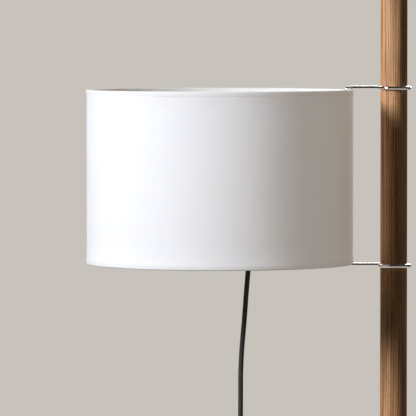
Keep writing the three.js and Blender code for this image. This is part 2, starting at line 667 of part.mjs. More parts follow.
function addPlug() {
  const plug = group(lamp, PLUG_AT[0], PLUG_AT[1], PLUG_LIE, PLUG_TURN);
  const alongX = (shape) => shape.rotateY(Math.PI / 2);
  const sleeve = alongX(turned([[0, 0.3], [4.1, 0.3], [5.6, 24], [0, 24]], 16));
  const outline = new THREE.Shape();
  outline.moveTo(22, -7);
  outline.quadraticCurveTo(36, -8, 40, -15);
  outline.lineTo(PLUG_FACE, -17.5);
  outline.lineTo(PLUG_FACE, 17.5);
  outline.lineTo(40, 15);
  outline.quadraticCurveTo(36, 8, 22, 7);
  outline.closePath();
  const moulding = raised(outline, -PLUG_HALF_TALL, PLUG_HALF_TALL);
  place("plug_body", join(moulding, sleeve), blackPlastic, plug);
  const [root, tip] = [PLUG_FACE + GAP, PLUG_FACE + PIN_LONG];
  [-PIN_APART / 2, PIN_APART / 2].forEach((y, i) => {
    const pin = turned([[0, root], [PIN_R, root], [PIN_R, tip - 1], [PIN_R - 1, tip], [0, tip]], 12);
    place(`plug_pin_${i + 1}`, alongX(pin).translate(0, y, 0), brass, plug);
  });
}

addPole();
addHub();
addLegs();
addCarriage();
addHolderArm();
addHolder();
addBulb();
addShade();
addCord();
addSwitch();
addPlug();

export default lamp;
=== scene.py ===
import math

import bmesh
import bpy
import numpy as np
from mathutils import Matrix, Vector


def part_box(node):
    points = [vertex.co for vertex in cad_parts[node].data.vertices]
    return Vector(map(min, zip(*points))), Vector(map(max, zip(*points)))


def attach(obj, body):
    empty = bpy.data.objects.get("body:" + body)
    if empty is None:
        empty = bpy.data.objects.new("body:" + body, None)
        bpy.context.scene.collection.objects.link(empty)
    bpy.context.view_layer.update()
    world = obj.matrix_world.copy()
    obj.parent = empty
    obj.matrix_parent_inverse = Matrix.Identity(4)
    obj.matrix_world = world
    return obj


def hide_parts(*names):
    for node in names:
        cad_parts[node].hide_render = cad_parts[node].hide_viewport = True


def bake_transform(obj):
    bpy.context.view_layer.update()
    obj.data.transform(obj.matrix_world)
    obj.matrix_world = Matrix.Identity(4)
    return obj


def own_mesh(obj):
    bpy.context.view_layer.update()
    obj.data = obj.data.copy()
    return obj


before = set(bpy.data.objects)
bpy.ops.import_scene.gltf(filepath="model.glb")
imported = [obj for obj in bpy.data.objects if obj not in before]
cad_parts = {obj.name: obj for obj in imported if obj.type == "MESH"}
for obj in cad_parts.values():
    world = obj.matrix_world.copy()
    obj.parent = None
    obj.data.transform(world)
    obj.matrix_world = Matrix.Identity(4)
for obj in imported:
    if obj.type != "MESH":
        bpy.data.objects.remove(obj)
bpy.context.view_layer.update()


# ---- Camera --------------------------------------------------------------------------------
# A long lens, 6.6 m in front of the lamp and a little above the shade's top edge, so that the
# drum's upper edge is almost a line and its lower edge a shallow curve.
MM = 0.001


def middle(node):
    """The centre of a CAD node's box."""
    low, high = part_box(node)
    return np.array((low + high) / 2)


pole_x = float(middle("pole")[0])
shade_top = float(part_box("binding_top")[1].z)
shade_bottom = float(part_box("binding_bottom")[0].z)

CAMERA_LEFT_OF_POLE = 0.2778
CAMERA_DISTANCE = 6.6
CAMERA_OVER_SHADE = 0.098
CAMERA_DOWN = math.radians(2.385)
LENS_MM = 382.3

camera_data = bpy.data.cameras.new("camera")
camera_data.sensor_width = 36
camera_data.lens = LENS_MM
camera_data.clip_end = 100
camera = bpy.data.objects.new("camera", camera_data)
camera.location = (pole_x - CAMERA_LEFT_OF_POLE, -CAMERA_DISTANCE, shade_top + CAMERA_OVER_SHADE)
camera.rotation_euler = (math.pi / 2 - CAMERA_DOWN, 0, 0)
bpy.context.scene.collection.objects.link(camera)
bpy.context.scene.camera = camera
bpy.context.scene.view_settings.view_transform = "Standard"


# ---- Cord ----------------------------------------------------------------------------------
# A 7.5 mm round lamp flex in a dark grey woven sleeve. It hangs from the lampholder's outlet to
# the floor, runs round the front under the legs to the foot switch, and on to a tied coil.
CORD_R = 3.75 * MM
CORD_SIDES = 20

HANGING_ROUTE = [
    (-0.2228, 0, 1.2648), (-0.2175, 0, 1.2595), (-0.2128, 0, 1.2546), (-0.2089, 0, 1.2499),
    (-0.2059, 0, 1.2445), (-0.2041, 0, 1.2386), (-0.2035, 0, 1.2320), (-0.2036, 0, 1.2220),
    (-0.2046, 0, 1.2000), (-0.2078, 0, 1.1600), (-0.2115, 0, 1.1200), (-0.2160, 0, 1.0700),
    (-0.2202, 0, 1.0200), (-0.2235, 0, 0.9750), (-0.2269, 0, 0.9350), (-0.2287, 0, 0.9000),
    (-0.2290, 0, 0.8500), (-0.2294, 0, 0.7800), (-0.2294, 0, 0.6400), (-0.2294, 0, 0.4800),
    (-0.2294, 0, 0.3200), (-0.2294, 0, 0.1800), (-0.2294, 0, 0.0600),
]
FLOOR_ROUTE = [
    (-0.2294, 0, 0.0597), (-0.2294, -0.0002, 0.0480), (-0.2294, -0.0010, 0.0370),
    (-0.2293, -0.0039, 0.0252), (-0.2291, -0.0110, 0.0144), (-0.2287, -0.0216, 0.0071),
    (-0.2280, -0.0345, 0.0042), (-0.2258, -0.0500, 0.0040), (-0.2196, -0.0750, 0.0040),
    (-0.2060, -0.1080, 0.0040), (-0.1840, -0.1420, 0.0040), (-0.1550, -0.1710, 0.0040),
    (-0.1190, -0.1950, 0.0040), (-0.0780, -0.2140, 0.0040), (-0.0340, -0.2270, 0.0040),
    (0.0120, -0.2320, 0.0040), (0.0560, -0.2295, 0.0040), (0.0980, -0.2200, 0.0040),
    (0.1320, -0.2055, 0.0040), (0.1530, -0.1925, 0.0049), (0.1665, -0.1820, 0.0074),
    (0.1739, -0.1702, 0.0095), (0.1790, -0.1593, 0.0100),
]
TAIL_ROUTE = [
    (0.2386, -0.0315, 0.0100), (0.2426, -0.0229, 0.0095), (0.2490, -0.0090, 0.0070),
    (0.2560, 0.0085, 0.0046), (0.2623, 0.0260, 0.0040), (0.2684, 0.0452, 0.0040),
    (0.2746, 0.0682, 0.0040),
]


def distances(path):
    """How far along a path each of its points is."""
    return np.concatenate([[0], np.cumsum(np.linalg.norm(np.diff(path, axis=0), axis=1))])


def at_distances(path, wanted):
    """The points of a path at the wanted distances along it."""
    run = distances(path)
    return np.stack([np.interp(wanted, run, path[:, k]) for k in range(path.shape[1])], axis=1)


def evenly(path, count):
    """The path again as count steps of equal length."""
    return at_distances(path, np.linspace(0, distances(path)[-1], count + 1))


def through(points, step):
    """Evenly spaced points, about one step apart, on the smooth curve through the given points.

    Centripetal Catmull-Rom: a cubic joins each two points, and its slope at a point is weighed by
    the square roots of the distances to the points on either side."""
    known = np.array(points, float)
    ends = 2 * known[[0, -1]] - known[[1, -2]]
    extended = np.vstack([ends[:1], known, ends[1:]])
    gap = np.sqrt(np.linalg.norm(np.diff(extended, axis=0), axis=1))[:, None]
    slope = np.diff(extended, axis=0) / gap
    across = (extended[2:] - extended[:-2]) / (gap[:-1] + gap[1:])
    tangent = slope[:-1] - across + slope[1:]
    leave = (tangent[:-1] * gap[1:-1])[:, None]
    arrive = (tangent[1:] * gap[1:-1])[:, None]
    start, end = known[:-1, None], known[1:, None]
    t = np.linspace(0, 1, 40, endpoint=False)[None, :, None]
    square = 3 * (end - start) - 2 * leave - arrive
    cube = 2 * (start - end) + leave + arrive
    curve = (start + leave * t + square * t**2 + cube * t**3).reshape(-1, known.shape[1])
    curve = np.vstack([curve, known[-1:]])
    return evenly(curve, max(round(distances(curve)[-1] / step), 2))


def unit(vector):
    """The vector at length 1."""
    return np.asarray(vector, float) / np.linalg.norm(vector)


def carried(path, radii, sides):
    """Rings of points carried along a path: path point + radius (cos a * side + sin a * other side).

    Each ring is square to the path, and its side direction is the last ring's, turned only as far
    as the path turns."""
    along = np.gradient(path, axis=0)
    along /= np.linalg.norm(along, axis=1)[:, None]
    side = np.zeros_like(path)
    side[0] = unit(np.cross(along[0], (0.12, 0.98, 0.16)))
    for i in range(1, len(path)):
        side[i] = unit(side[i - 1] - along[i] * (side[i - 1] @ along[i]))
    other = np.cross(along, side)
    turn = 2 * np.pi * np.arange(sides) / sides
    ring = np.cos(turn)[:, None] * side[:, None] + np.sin(turn)[:, None] * other[:, None]
    return path[:, None] + np.broadcast_to(radii, len(path))[:, None, None] * ring


def skin(name, grid, closed=False, sharp=35, grain=None):
    """A mesh over a grid of points, whose rows follow the piece and whose columns go round it.

    The columns close on themselves. The rows close too if closed is true, and otherwise end in one
    middle point each. UV is the distance round the widest row, and the mean distance along, in
    metres. grain gives each point its place in the plank or rod that the piece was cut from."""
    def with_ends(points):
        first = np.broadcast_to(points[:1].mean(axis=1, keepdims=True), points[:1].shape)
        last = np.broadcast_to(points[-1:].mean(axis=1, keepdims=True), points[-1:].shape)
        return np.concatenate([first, points, last])

    grid = np.asarray(grid, float)
    grain = grid if grain is None else np.asarray(grain, float)
    if not closed:
        grid, grain = with_ends(grid), with_ends(grain)
    rows, columns = grid.shape[:2]
    row = np.arange(rows if closed else rows - 1)[:, None]
    column = np.arange(columns)[None]
    next_row, next_column = (row + 1) % rows, (column + 1) % columns
    corners = [row * columns + column, row * columns + next_column,
               next_row * columns + next_column, next_row * columns + column]
    faces = np.stack(corners, axis=-1).reshape(-1, 4)

    looped = np.concatenate([grid, grid[:1]])
    v = np.concatenate([[0], np.cumsum(np.linalg.norm(np.diff(looped, axis=0), axis=2).mean(axis=1))])
    steps = np.linalg.norm(np.roll(grid, -1, axis=1) - grid, axis=2)
    u = np.concatenate([[0], np.cumsum(steps[steps.sum(axis=1).argmax()])])
    wide, tall = np.broadcast_arrays(column, row)
    uv = np.stack([
        np.stack([u[wide], v[tall]], axis=-1), np.stack([u[wide + 1], v[tall]], axis=-1),
        np.stack([u[wide + 1], v[tall + 1]], axis=-1), np.stack([u[wide], v[tall + 1]], axis=-1),
    ], axis=2)

    mesh = bpy.data.meshes.new(name)
    mesh.from_pydata(grid.reshape(-1, 3).tolist(), [], faces.tolist())
    mesh.uv_layers.new(name="UVMap").data.foreach_set("uv", uv.ravel())
    placed = mesh.attributes.new("grain", "FLOAT_VECTOR", "POINT")
    placed.data.foreach_set("vector", grain.ravel())

    work = bmesh.new()
    work.from_mesh(mesh)
    bmesh.ops.remove_doubles(work, verts=work.verts, dist=1e-7)
    if work.calc_volume(signed=True) < 0:
        bmesh.ops.reverse_faces(work, faces=work.faces)
    work.to_mesh(mesh)
    work.free()
    mesh.shade_smooth()
    mesh.set_sharp_from_angle(angle=math.radians(sharp))
    return mesh


def piece(name, grid, material, body, *nodes, slot=None, **shape):
    """An object whose mesh is skin(name, grid, **shape). It rides on a body and stands for CAD nodes.
    The slot argument is not used."""
    mesh = skin(name, grid, **shape)
    made = bpy.data.objects.new(name, mesh)
    bpy.context.scene.collection.objects.link(made)
    mesh.materials.append(material)
    if body:
        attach(made, body)
    if nodes:
        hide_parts(*nodes)
    return made


def node(tree, kind, values, **properties):
    """One new shader node. A value that is a socket is linked, and any other is set."""
    made = tree.nodes.new(kind)
    for key, value in properties.items():
        setattr(made, key, value)
    for key, value in values.items():
        if isinstance(value, bpy.types.NodeSocket):
            tree.links.new(value, made.inputs[key])
        else:
            made.inputs[key].default_value = value
    return made


def math_node(tree, operation, first, second=0.0, third=0.0):
    """The output of one Math node. MULTIPLY_ADD gives first * second + third."""
    values = {0: first, 1: second, 2: third}
    return node(tree, "ShaderNodeMath", values, operation=operation).outputs[0]


def noise(tree, vector, scale, detail, **more):
    """The 0 to 1 value of a Noise Texture."""
    values = {"Vector": vector, "Scale": scale, "Detail": detail, **more}
    return node(tree, "ShaderNodeTexNoise", values).outputs["Fac"]


def feed(tree, target, sockets):
    """Links each socket to the target node's input of that name."""
    for label, socket in sockets.items():
        tree.links.new(socket, target.inputs[label])


def color_mix(tree, factor, first, second):
    """The colour between two colours: first where factor is 0, second where it is 1."""
    return node(tree, "ShaderNodeMix", {0: factor, 6: first, 7: second}, data_type="RGBA").outputs[2]


def effect(name, takes, gives):
    """A shader node group with named inputs and outputs: its tree, inputs and output node."""
    tree = bpy.data.node_groups.new(name, "ShaderNodeTree")
    for label, kind in takes.items():
        tree.interface.new_socket(label, in_out="INPUT", socket_type=f"NodeSocket{kind}")
    for label, kind in gives.items():
        tree.interface.new_socket(label, in_out="OUTPUT", socket_type=f"NodeSocket{kind}")
    return tree, tree.nodes.new("NodeGroupInput").outputs, tree.nodes.new("NodeGroupOutput")


def use(tree, group, values):
    """The outputs of a node group placed in a material with its own values."""
    made = tree.nodes.new("ShaderNodeGroup")
    made.node_tree = group
    for key, value in values.items():
        if isinstance(value, bpy.types.NodeSocket):
            tree.links.new(value, made.inputs[key])
        else:
            made.inputs[key].default_value = value
    return made.outputs


def finish(name, settings):
    """A new material with plain values on its shader: the material, its tree and its shader."""
    material = bpy.data.materials.new(name)
    material.use_nodes = True
    shader = material.node_tree.nodes["Principled BSDF"]
    for key, value in settings.items():
        shader.inputs[key].default_value = value
    return material, material.node_tree, shader


def raised(tree, height, depth):
    """The normal of a surface raised by a height from 0 to 1 times a real depth."""
    return node(tree, "ShaderNodeBump", {"Height": height, "Distance": depth}).outputs["Normal"]


def braid_effect():
    """Strands crossing over and under each other on a slant.

    With a = along + round and b = along - round, counted in strands, the strand that lies on top
    is the first family where sin(pi a) sin(pi b) > 0 and the second elsewhere, and its height is
    the absolute sine across it. Shade is that same height, given to the colour as painted shade
    that darkens the gaps between strands."""
    tree, take, give = effect(
        "braid", {"UV": "Vector", "Strands per metre": "Float"},
        {"Height": "Float", "Shade": "Float"})
    split = node(tree, "ShaderNodeSeparateXYZ", {0: take["UV"]}).outputs
    round_it = math_node(tree, "MULTIPLY", split["X"], take["Strands per metre"])
    along = math_node(tree, "MULTIPLY", split["Y"], take["Strands per metre"])
    families = []
    for operation in ("ADD", "SUBTRACT"):
        across = math_node(tree, "MULTIPLY", math_node(tree, operation, along, round_it), math.pi)
        families.append(math_node(tree, "SINE", across))
    crossing = math_node(tree, "MULTIPLY", *families)
    first_on_top = math_node(tree, "GREATER_THAN", crossing, 0.0)
    first, second = (math_node(tree, "ABSOLUTE", wave) for wave in families)
    top = node(tree, "ShaderNodeMix", {0: first_on_top, 2: second, 3: first}).outputs[0]
    fuzz = noise(tree, take["UV"], 2600.0, 3.0)
    feed(tree, give, {"Height": math_node(tree, "MULTIPLY_ADD", fuzz, 0.35, top), "Shade": top})
    return tree


braid = braid_effect()


def cord_finish():
    """Dark grey woven sleeve with painted shade: lighter on the strands' backs, nearly black in the gaps."""
    material, tree, shader = finish("cord_sleeve", {
        "Roughness": 0.62, "Specular IOR Level": 0.45, "Sheen Weight": 0.25, "Sheen Roughness": 0.4,
    })
    uv = node(tree, "ShaderNodeUVMap", {}, uv_map="UVMap").outputs[0]
    strands = 12 / (2 * math.pi * CORD_R)
    woven = use(tree, braid, {"UV": uv, "Strands per metre": strands})
    # Painted shade: the braid's height darkens the gaps between strands and lightens their backs.
    gap_shaded_tones = color_mix(tree, woven["Shade"], (0.016, 0.015, 0.014, 1), (0.052, 0.048, 0.046, 1))
    feed(tree, shader, {"Base Color": gap_shaded_tones, "Normal": raised(tree, woven["Height"], 0.25 * MM)})
    return material


cord_sleeve = cord_finish()


def on_lamp(points):
    """Points given from the pole's foot, moved to the lamp's place."""
    return np.array(points, float) + (pole_x, 0, 0)


def cord_piece(name, path, body, *nodes):
    """A closed round tube along the path, in the woven sleeve."""
    return piece(name, carried(path, CORD_R, CORD_SIDES), cord_sleeve, body, *nodes,
                 slot="cord_cloth", sharp=60)


hanging_path = on_lamp(through(HANGING_ROUTE, 4 * MM))
hanging_cord = cord_piece("cord_from_lampholder", hanging_path, None, "cord_hanging")
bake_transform(hanging_cord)

floor_path = on_lamp(through(FLOOR_ROUTE, 4 * MM))
floor_cord = cord_piece("cord_on_floor", floor_path, None, "cord_floor")
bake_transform(floor_cord)


# ---- Coil, tie and plug ----------------------------------------------------------------------
# The rest of the flex is wound four and a third times into a flat coil beside the switch, held by
# a black hook-and-loop strap, and ends in a moulded two-pin plug that lies behind the coil.
coil_at = middle("cord_coil")[:2]
COIL_RADII = np.array([45, 37.4, 37.4, 37.4, 45, 45]) * MM
COIL_HEIGHTS = np.array([4.75, 4.75, 12.25, 19.75, 19.75, 12.25]) * MM
COIL_FROM, COIL_TO = -24.7, 1530  # degrees turned, from the way in to the way out
FIRST_MOVE, MOVE_EVERY, MOVE_TAKES = 255, 300, 80  # degrees, from one turn's place to the next


def coil_points():
    """The coil's centreline: radius and height stay at one turn's place, and go smoothly over to
    the next during each short window of the angle."""
    angle = np.arange(COIL_FROM, COIL_TO, 15)
    moved = np.zeros_like(angle)
    for k in range(len(COIL_RADII) - 1):
        t = np.clip((angle - FIRST_MOVE - MOVE_EVERY * k) / MOVE_TAKES, 0, 1)
        moved += t * t * (3 - 2 * t)
    radius = np.interp(moved, range(len(COIL_RADII)), COIL_RADII)
    height = np.interp(moved, range(len(COIL_HEIGHTS)), COIL_HEIGHTS)
    turn = np.radians(angle)
    return np.stack([coil_at[0] + radius * np.cos(turn), coil_at[1] + radius * np.sin(turn), height], axis=1)


plug_low, plug_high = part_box("plug_body")
plug_y, plug_z = float(plug_low.y + plug_high.y) / 2, float(plug_low.z + plug_high.z) / 2
plug_entry = float(plug_high.x) + 0.3 * MM
way_out = [
    (coil_at[0], coil_at[1] + COIL_RADII[-1], 12 * MM),
    (coil_at[0] - 10 * MM, plug_y, 10.6 * MM),
    (coil_at[0] - 20 * MM, plug_y, 8.6 * MM),
    (plug_entry, plug_y, plug_z),
]
tail_path = through(np.vstack([on_lamp(TAIL_ROUTE), coil_points(), way_out]), 4 * MM)
tail_cord = cord_piece("cord_tail_and_coil", tail_path, "root", "cord_tail", "cord_coil")


def rounded(corners, radius, steps=4, closed=False):
    """A polyline with its corners rounded: a quadratic curve cuts each one off at most one radius
    from the corner, and never more than halfway along a side."""
    corners = np.asarray(corners, float)
    if closed:
        corners = np.vstack([corners[-1:], corners, corners[:1]])
    t = np.linspace(0, 1, steps + 1)[:, None]
    made = []
    for before, corner, after in zip(corners, corners[1:], corners[2:]):
        back, ahead = before - corner, after - corner
        back_by, ahead_by = np.linalg.norm(back), np.linalg.norm(ahead)
        cut = min(radius, 0.49 * back_by, 0.49 * ahead_by)
        start, end = corner + back * cut / back_by, corner + ahead * cut / ahead_by
        made.append((1 - t) ** 2 * start + 2 * t * (1 - t) * corner + t**2 * end)
    return np.vstack(made if closed else [corners[:1], *made, corners[-1:]])


def strap_grid(angle, wide, thick, grow):
    """A flat band round the coil's bundle: a rounded rectangle in the plane of radius and height,
    grown by grow, carried as a section of wide by thick."""
    low, high = COIL_HEIGHTS.min() - CORD_R - grow, COIL_HEIGHTS.max() + CORD_R + grow
    inner, outer = COIL_RADII.min() - CORD_R - grow, COIL_RADII.max() + CORD_R + grow
    loop = rounded([(inner, low), (outer, low), (outer, high), (inner, high)], 4 * MM, 6, closed=True)
    across = np.roll(loop, -1, axis=0) - np.roll(loop, 1, axis=0)
    outward = np.stack([across[:, 1], -across[:, 0]], axis=1)
    outward /= np.linalg.norm(outward, axis=1)[:, None]
    section = rounded([(-wide / 2, 0), (wide / 2, 0), (wide / 2, thick), (-wide / 2, thick)],
                      0.2 * MM, 2, closed=True)
    flat = loop[:, None] + outward[:, None] * section[None, :, 1:]
    radial, height, aside = flat[..., 0], flat[..., 1], np.broadcast_to(section[:, 0], flat.shape[:2])
    c, s = math.cos(angle), math.sin(angle)
    x, y = radial * c - aside * s, radial * s + aside * c
    return np.stack([coil_at[0] + x, coil_at[1] + y, height], axis=-1)


def grain_of_plastic():
    """Moulded or rubbery surfaces: a fine pebble in the height, and slow patches in the shade."""
    tree, take, give = effect(
        "moulded_surface",
        {"Vector": "Vector", "Color": "Color", "Pebble": "Float", "Roughness": "Float",
         "Variation": "Float"},
        {"Color": "Color", "Roughness": "Float", "Height": "Float"})
    patches = math_node(tree, "SUBTRACT", noise(tree, take["Vector"], 38.0, 4.0), 0.5)
    change = math_node(tree, "MULTIPLY", patches, take["Variation"])
    shade = math_node(tree, "MULTIPLY_ADD", change, 0.5, 1.0)
    toned = node(tree, "ShaderNodeVectorMath", {0: take["Color"], "Scale": shade}, operation="SCALE")
    feed(tree, give, {
        "Color": toned.outputs[0],
        "Roughness": math_node(tree, "MULTIPLY_ADD", change, 0.35, take["Roughness"]),
        "Height": noise(tree, take["Vector"], take["Pebble"], 2.0),
    })
    return tree


moulded = grain_of_plastic()


def moulded_finish(name, color, roughness, pebble=1800.0, depth=0.05 * MM, settings=None,
                   variation=1.0):
    """A plastic, rubber or painted finish that uses the moulded surface."""
    material, tree, shader = finish(name, settings or {})
    place = node(tree, "ShaderNodeTexCoord", {}).outputs["Object"]
    made = use(tree, moulded, {
        "Vector": place, "Color": (*color, 1), "Pebble": pebble, "Roughness": roughness,
        "Variation": variation,
    })
    feed(tree, shader, {"Base Color": made["Color"], "Roughness": made["Roughness"],
                        "Normal": raised(tree, made["Height"], depth)})
    return material


black_plastic = moulded_finish("black_plastic", (0.012, 0.0115, 0.011), 0.42)
strap_cloth = moulded_finish("strap_cloth", (0.014, 0.014, 0.015), 0.9, 2600.0, 0.35 * MM,
                             {"Sheen Weight": 0.5})

STRAP_ANGLE = math.radians(4)
strap = piece("coil_strap", strap_grid(STRAP_ANGLE, 12 * MM, 0.6 * MM, 0.05 * MM), strap_cloth, "root",
              slot="black_rubber", closed=True)
strap_end = strap_grid(STRAP_ANGLE + 0.02, 11 * MM, 0.6 * MM, 0.72 * MM)
strap_tab = piece("coil_strap_end", strap_end[8:23], strap_cloth, "root", slot="black_rubber")


def plug_grid():
    """The plug's moulding, lofted along -X from the cord to the face that bears the pins.

    Each section is a superellipse, y = half width * sign(cos a)|cos a|^p and z likewise with sin,
    where p goes from 1 on the round sleeve to 0.45 on the flat body. Rings of the sleeve stand
    proud of it in a ripple, and shallow grip ridges cross the body."""
    length = plug_entry - 0.3 * MM - float(plug_low.x)
    s = np.concatenate([np.linspace(0, 0.4, 41), np.linspace(0.41, 0.985, 40), [0.993, 0.998, 1]])
    body = np.clip((s - 0.38) / 0.3, 0, 1)
    body = body * body * (3 - 2 * body)
    sleeve = (4.5 + 1.2 * s / 0.4) * MM + 0.35 * MM * np.sin(s * 2 * math.pi / 0.062) * (s < 0.36)
    face = np.select([s > 0.999, s > 0.995, s > 0.99], [0.93, 0.965, 0.99], 1.0)
    ridge = 0.35 * MM * np.maximum(np.sin((s - 0.7) * 2 * math.pi / 0.07), 0) * ((s > 0.7) & (s < 0.91))
    wide = (sleeve * (1 - body) + (14.6 + 2.9 * s) * MM * body) * face
    tall = (sleeve * (1 - body) + (7 * MM - ridge) * body) * face
    power = (1 - 0.55 * body)[:, None]
    a = 2 * np.pi * np.arange(48)[None] / 48
    y = np.sign(np.cos(a)) * np.abs(np.cos(a)) ** power * wide[:, None]
    z = np.sign(np.sin(a)) * np.abs(np.sin(a)) ** power * tall[:, None]
    x = np.broadcast_to((float(plug_high.x) - s * length)[:, None], y.shape)
    return np.stack([x, plug_y + y, plug_z + z], axis=-1)


plug = piece("plug_moulding", plug_grid(), black_plastic, "root", "plug_body", sharp=50)


def turned(profile, sides=64):
    """A profile of (radius, height) turned about Z: (r cos a, r sin a, z)."""
    profile = np.asarray(profile, float)
    turn = 2 * np.pi * np.arange(sides) / sides
    r, z = profile[:, :1], np.broadcast_to(profile[:, 1:], (len(profile), sides))
    return np.stack([r * np.cos(turn), r * np.sin(turn), z], axis=-1)


def put(grid, at, toward=(0, 0, 1), side=(1, 0, 0)):
    """The grid with its Z axis turned along toward, and X as near side as it can be, moved to at."""
    z = unit(toward)
    x = unit(np.asarray(side, float) - z * np.dot(side, z))
    return np.asarray(at, float) + grid @ np.stack([x, np.cross(z, x), z])


def metal_effect():
    """Drawn and polished metal: a fine grain in the height and a slow change of roughness."""
    tree, take, give = effect(
        "polished_metal", {"Vector": "Vector", "Roughness": "Float", "Spread": "Float"},
        {"Roughness": "Float", "Height": "Float"})
    patches = math_node(tree, "SUBTRACT", noise(tree, take["Vector"], 60.0, 5.0), 0.5)
    feed(tree, give, {
        "Roughness": math_node(tree, "MULTIPLY_ADD", patches, take["Spread"], take["Roughness"]),
        "Height": noise(tree, take["Vector"], 2200.0, 2.0),
    })
    return tree


polished_metal = metal_effect()


def metal_finish(name, color, roughness, spread=0.15, depth=0.004 * MM):
    """A metal with its own colour and polish."""
    material, tree, shader = finish(name, {"Base Color": (*color, 1), "Metallic": 1.0})
    place = node(tree, "ShaderNodeTexCoord", {}).outputs["Object"]
    made = use(tree, polished_metal, {"Vector": place, "Roughness": roughness, "Spread": spread})
    feed(tree, shader, {"Roughness": made["Roughness"], "Normal": raised(tree, made["Height"], depth)})
    return material


brass = metal_finish("brass", (0.72, 0.5, 0.2), 0.24)
for number in (1, 2):
    low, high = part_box(f"plug_pin_{number}")
    long, thick = float(high.x - low.x), float(high.y - low.y) / 2
    profile = rounded([(thick, -1 * MM), (thick, long), (0, long)], 1.5 * MM, 6)
    at = (float(high.x), *middle(f"plug_pin_{number}")[1:])
    pin = put(turned(profile, 24), at, toward=(-1, 0, 0), side=(0, 0, 1))
    piece(f"plug_prong_{number}", pin, brass, "root", f"plug_pin_{number}")


# ---- Foot switch -------------------------------------------------------------------------------
# A dark grey moulded case in two halves on the cord: a flat base, and a cover with rounded
# shoulders. A black push button stands on a spring in a recessed ring, and a ribbed rubber sleeve
# holds the cord at each end.
switch_at = middle("switch_base") * (1, 1, 0)
SWITCH_ALONG = np.array([math.cos(math.radians(65)), math.sin(math.radians(65)), 0])
SWITCH_LONG, SWITCH_WIDE, SWITCH_CORNER = 88, 36, 12
COVER_FOOT, COVER_TOP, COVER_WALL, SHOULDER = 4.3, 22, 2.5, 5


def rounded_rectangle(long, wide, corner, count=96):
    """A closed outline of evenly spaced points, with round corners."""
    corners = np.array([(1, 1), (-1, 1), (-1, -1), (1, -1)]) * (long / 2 - corner, wide / 2 - corner)
    turn = np.arange(4)[:, None] * math.pi / 2 + np.linspace(0, math.pi / 2, 9)
    arcs = corners[:, None] + corner * np.stack([np.cos(turn), np.sin(turn)], axis=-1)
    loop = arcs.reshape(-1, 2)
    return evenly(np.vstack([loop, loop[:1]]), count)[:-1]


def rim(outline, inset, z):
    """The closed outline drawn in by inset along its own normals, at the height z."""
    along = np.roll(outline, -1, axis=0) - np.roll(outline, 1, axis=0)
    outward = np.stack([along[:, 1], -along[:, 0]], axis=1)
    outward /= np.linalg.norm(outward, axis=1)[:, None]
    drawn = outline - outward * inset
    return np.column_stack([drawn, np.full(len(drawn), z)])


def round_rim(outline, radius, z):
    """A circle whose points lie in the same directions as the outline's."""
    return np.column_stack([radius * outline / np.linalg.norm(outline, axis=1)[:, None],
                            np.full(len(outline), z)])


def slab(outline, low, high, edge, steps=4):
    """The outline raised from low to high, with quarter-round edges below and above."""
    bend = np.linspace(0, math.pi / 2, steps + 1)
    lower = [rim(outline, edge * (1 - math.sin(a)), low + edge * (1 - math.cos(a))) for a in bend]
    upper = [rim(outline, edge * (1 - math.cos(a)), high - edge * (1 - math.sin(a))) for a in bend]
    return np.array(lower + upper)


def cover_grid():
    """The cover as one closed shell: up the outside wall, round the shoulder, across the top, down
    into the button's hole through a shallow ring, and back along the inside."""
    outline = rounded_rectangle(SWITCH_LONG, SWITCH_WIDE, SWITCH_CORNER)
    inner_top = COVER_TOP - COVER_WALL
    bend = np.linspace(0, math.pi / 2, 8)
    rows = [rim(outline, 0, COVER_FOOT)]
    rows += [rim(outline, SHOULDER * (1 - math.cos(a)), COVER_TOP - SHOULDER * (1 - math.sin(a)))
             for a in bend]
    ring = [(14.6, 22), (14.2, 21.8), (14, 21.2), (12.6, 21.1), (12.3, 21.3), (12.1, 21.8), (11.6, 21.8),
            (11.35, 21.5), (11.35, inner_top)]
    rows += [round_rim(outline, radius, z) for radius, z in ring]
    reach = SHOULDER - COVER_WALL
    rows += [rim(outline, COVER_WALL + reach * (1 - math.cos(a)), inner_top - reach * (1 - math.sin(a)))
             for a in bend[::-1]]
    rows.append(rim(outline, COVER_WALL, COVER_FOOT))
    return np.array(rows)


def on_switch(grid):
    """A grid in millimetres about the switch's middle, put in its place."""
    return put(grid * MM, switch_at, side=SWITCH_ALONG)


grey_plastic = moulded_finish("grey_plastic", (0.045, 0.042, 0.04), 0.5, 1500.0, 0.08 * MM)
black_rubber = moulded_finish("black_rubber", (0.018, 0.0175, 0.017), 0.72, 900.0, 0.1 * MM)

tray_grid = slab(rounded_rectangle(SWITCH_LONG, SWITCH_WIDE, SWITCH_CORNER), 0, 4, 0.8)
on_cord = [
    piece("switch_tray", on_switch(tray_grid), grey_plastic, "root", "switch_base"),
    piece("switch_lid", on_switch(cover_grid()), grey_plastic, "root", "switch_cover", closed=True),
]

button_profile = rounded([(7.6, 14.5), (7.6, 13), (13, 13), (13, 15.5), (11, 15.5), (11, 26.3),
                          (8.5, 27.1), (7, 26.5), (0, 26.1)], 0.7, 4)
on_cord.append(piece("switch_push_button", on_switch(turned(button_profile)), black_plastic, "button",
                     "switch_button"))


def sleeve_grid(radius, tip_radius, long, rings, sides=40):
    """A tapered strain relief along +Z: the radius falls evenly to the tip, and grooves cut into it
    as the lower half of a cosine, rings of them between the root and the tip."""
    s = np.linspace(0, 1, 12 * rings + 1)
    groove = 0.5 * np.maximum(-np.cos(2 * math.pi * rings * s), 0) * ((s > 0.08) & (s < 0.93))
    radii = radius + (tip_radius - radius) * s - groove
    body = np.column_stack([radii, s * long])
    lip = [(tip_radius - 0.25, long + 0.15)]
    return turned(np.vstack([[(radius, -5)], body, lip]), sides)


for name, end in (("switch_sleeve_out", 1), ("switch_sleeve_in", -1)):
    at = switch_at + end * SWITCH_ALONG * (SWITCH_LONG / 2 - 2) * MM + (0, 0, 10 * MM)
    grid = put(sleeve_grid(5.0, 4.5, 27.8, 7) * MM, at, toward=end * SWITCH_ALONG, side=(0, 0, 1))
    on_cord.append(piece(name + "_ribbed", grid, black_rubber, "root", name))


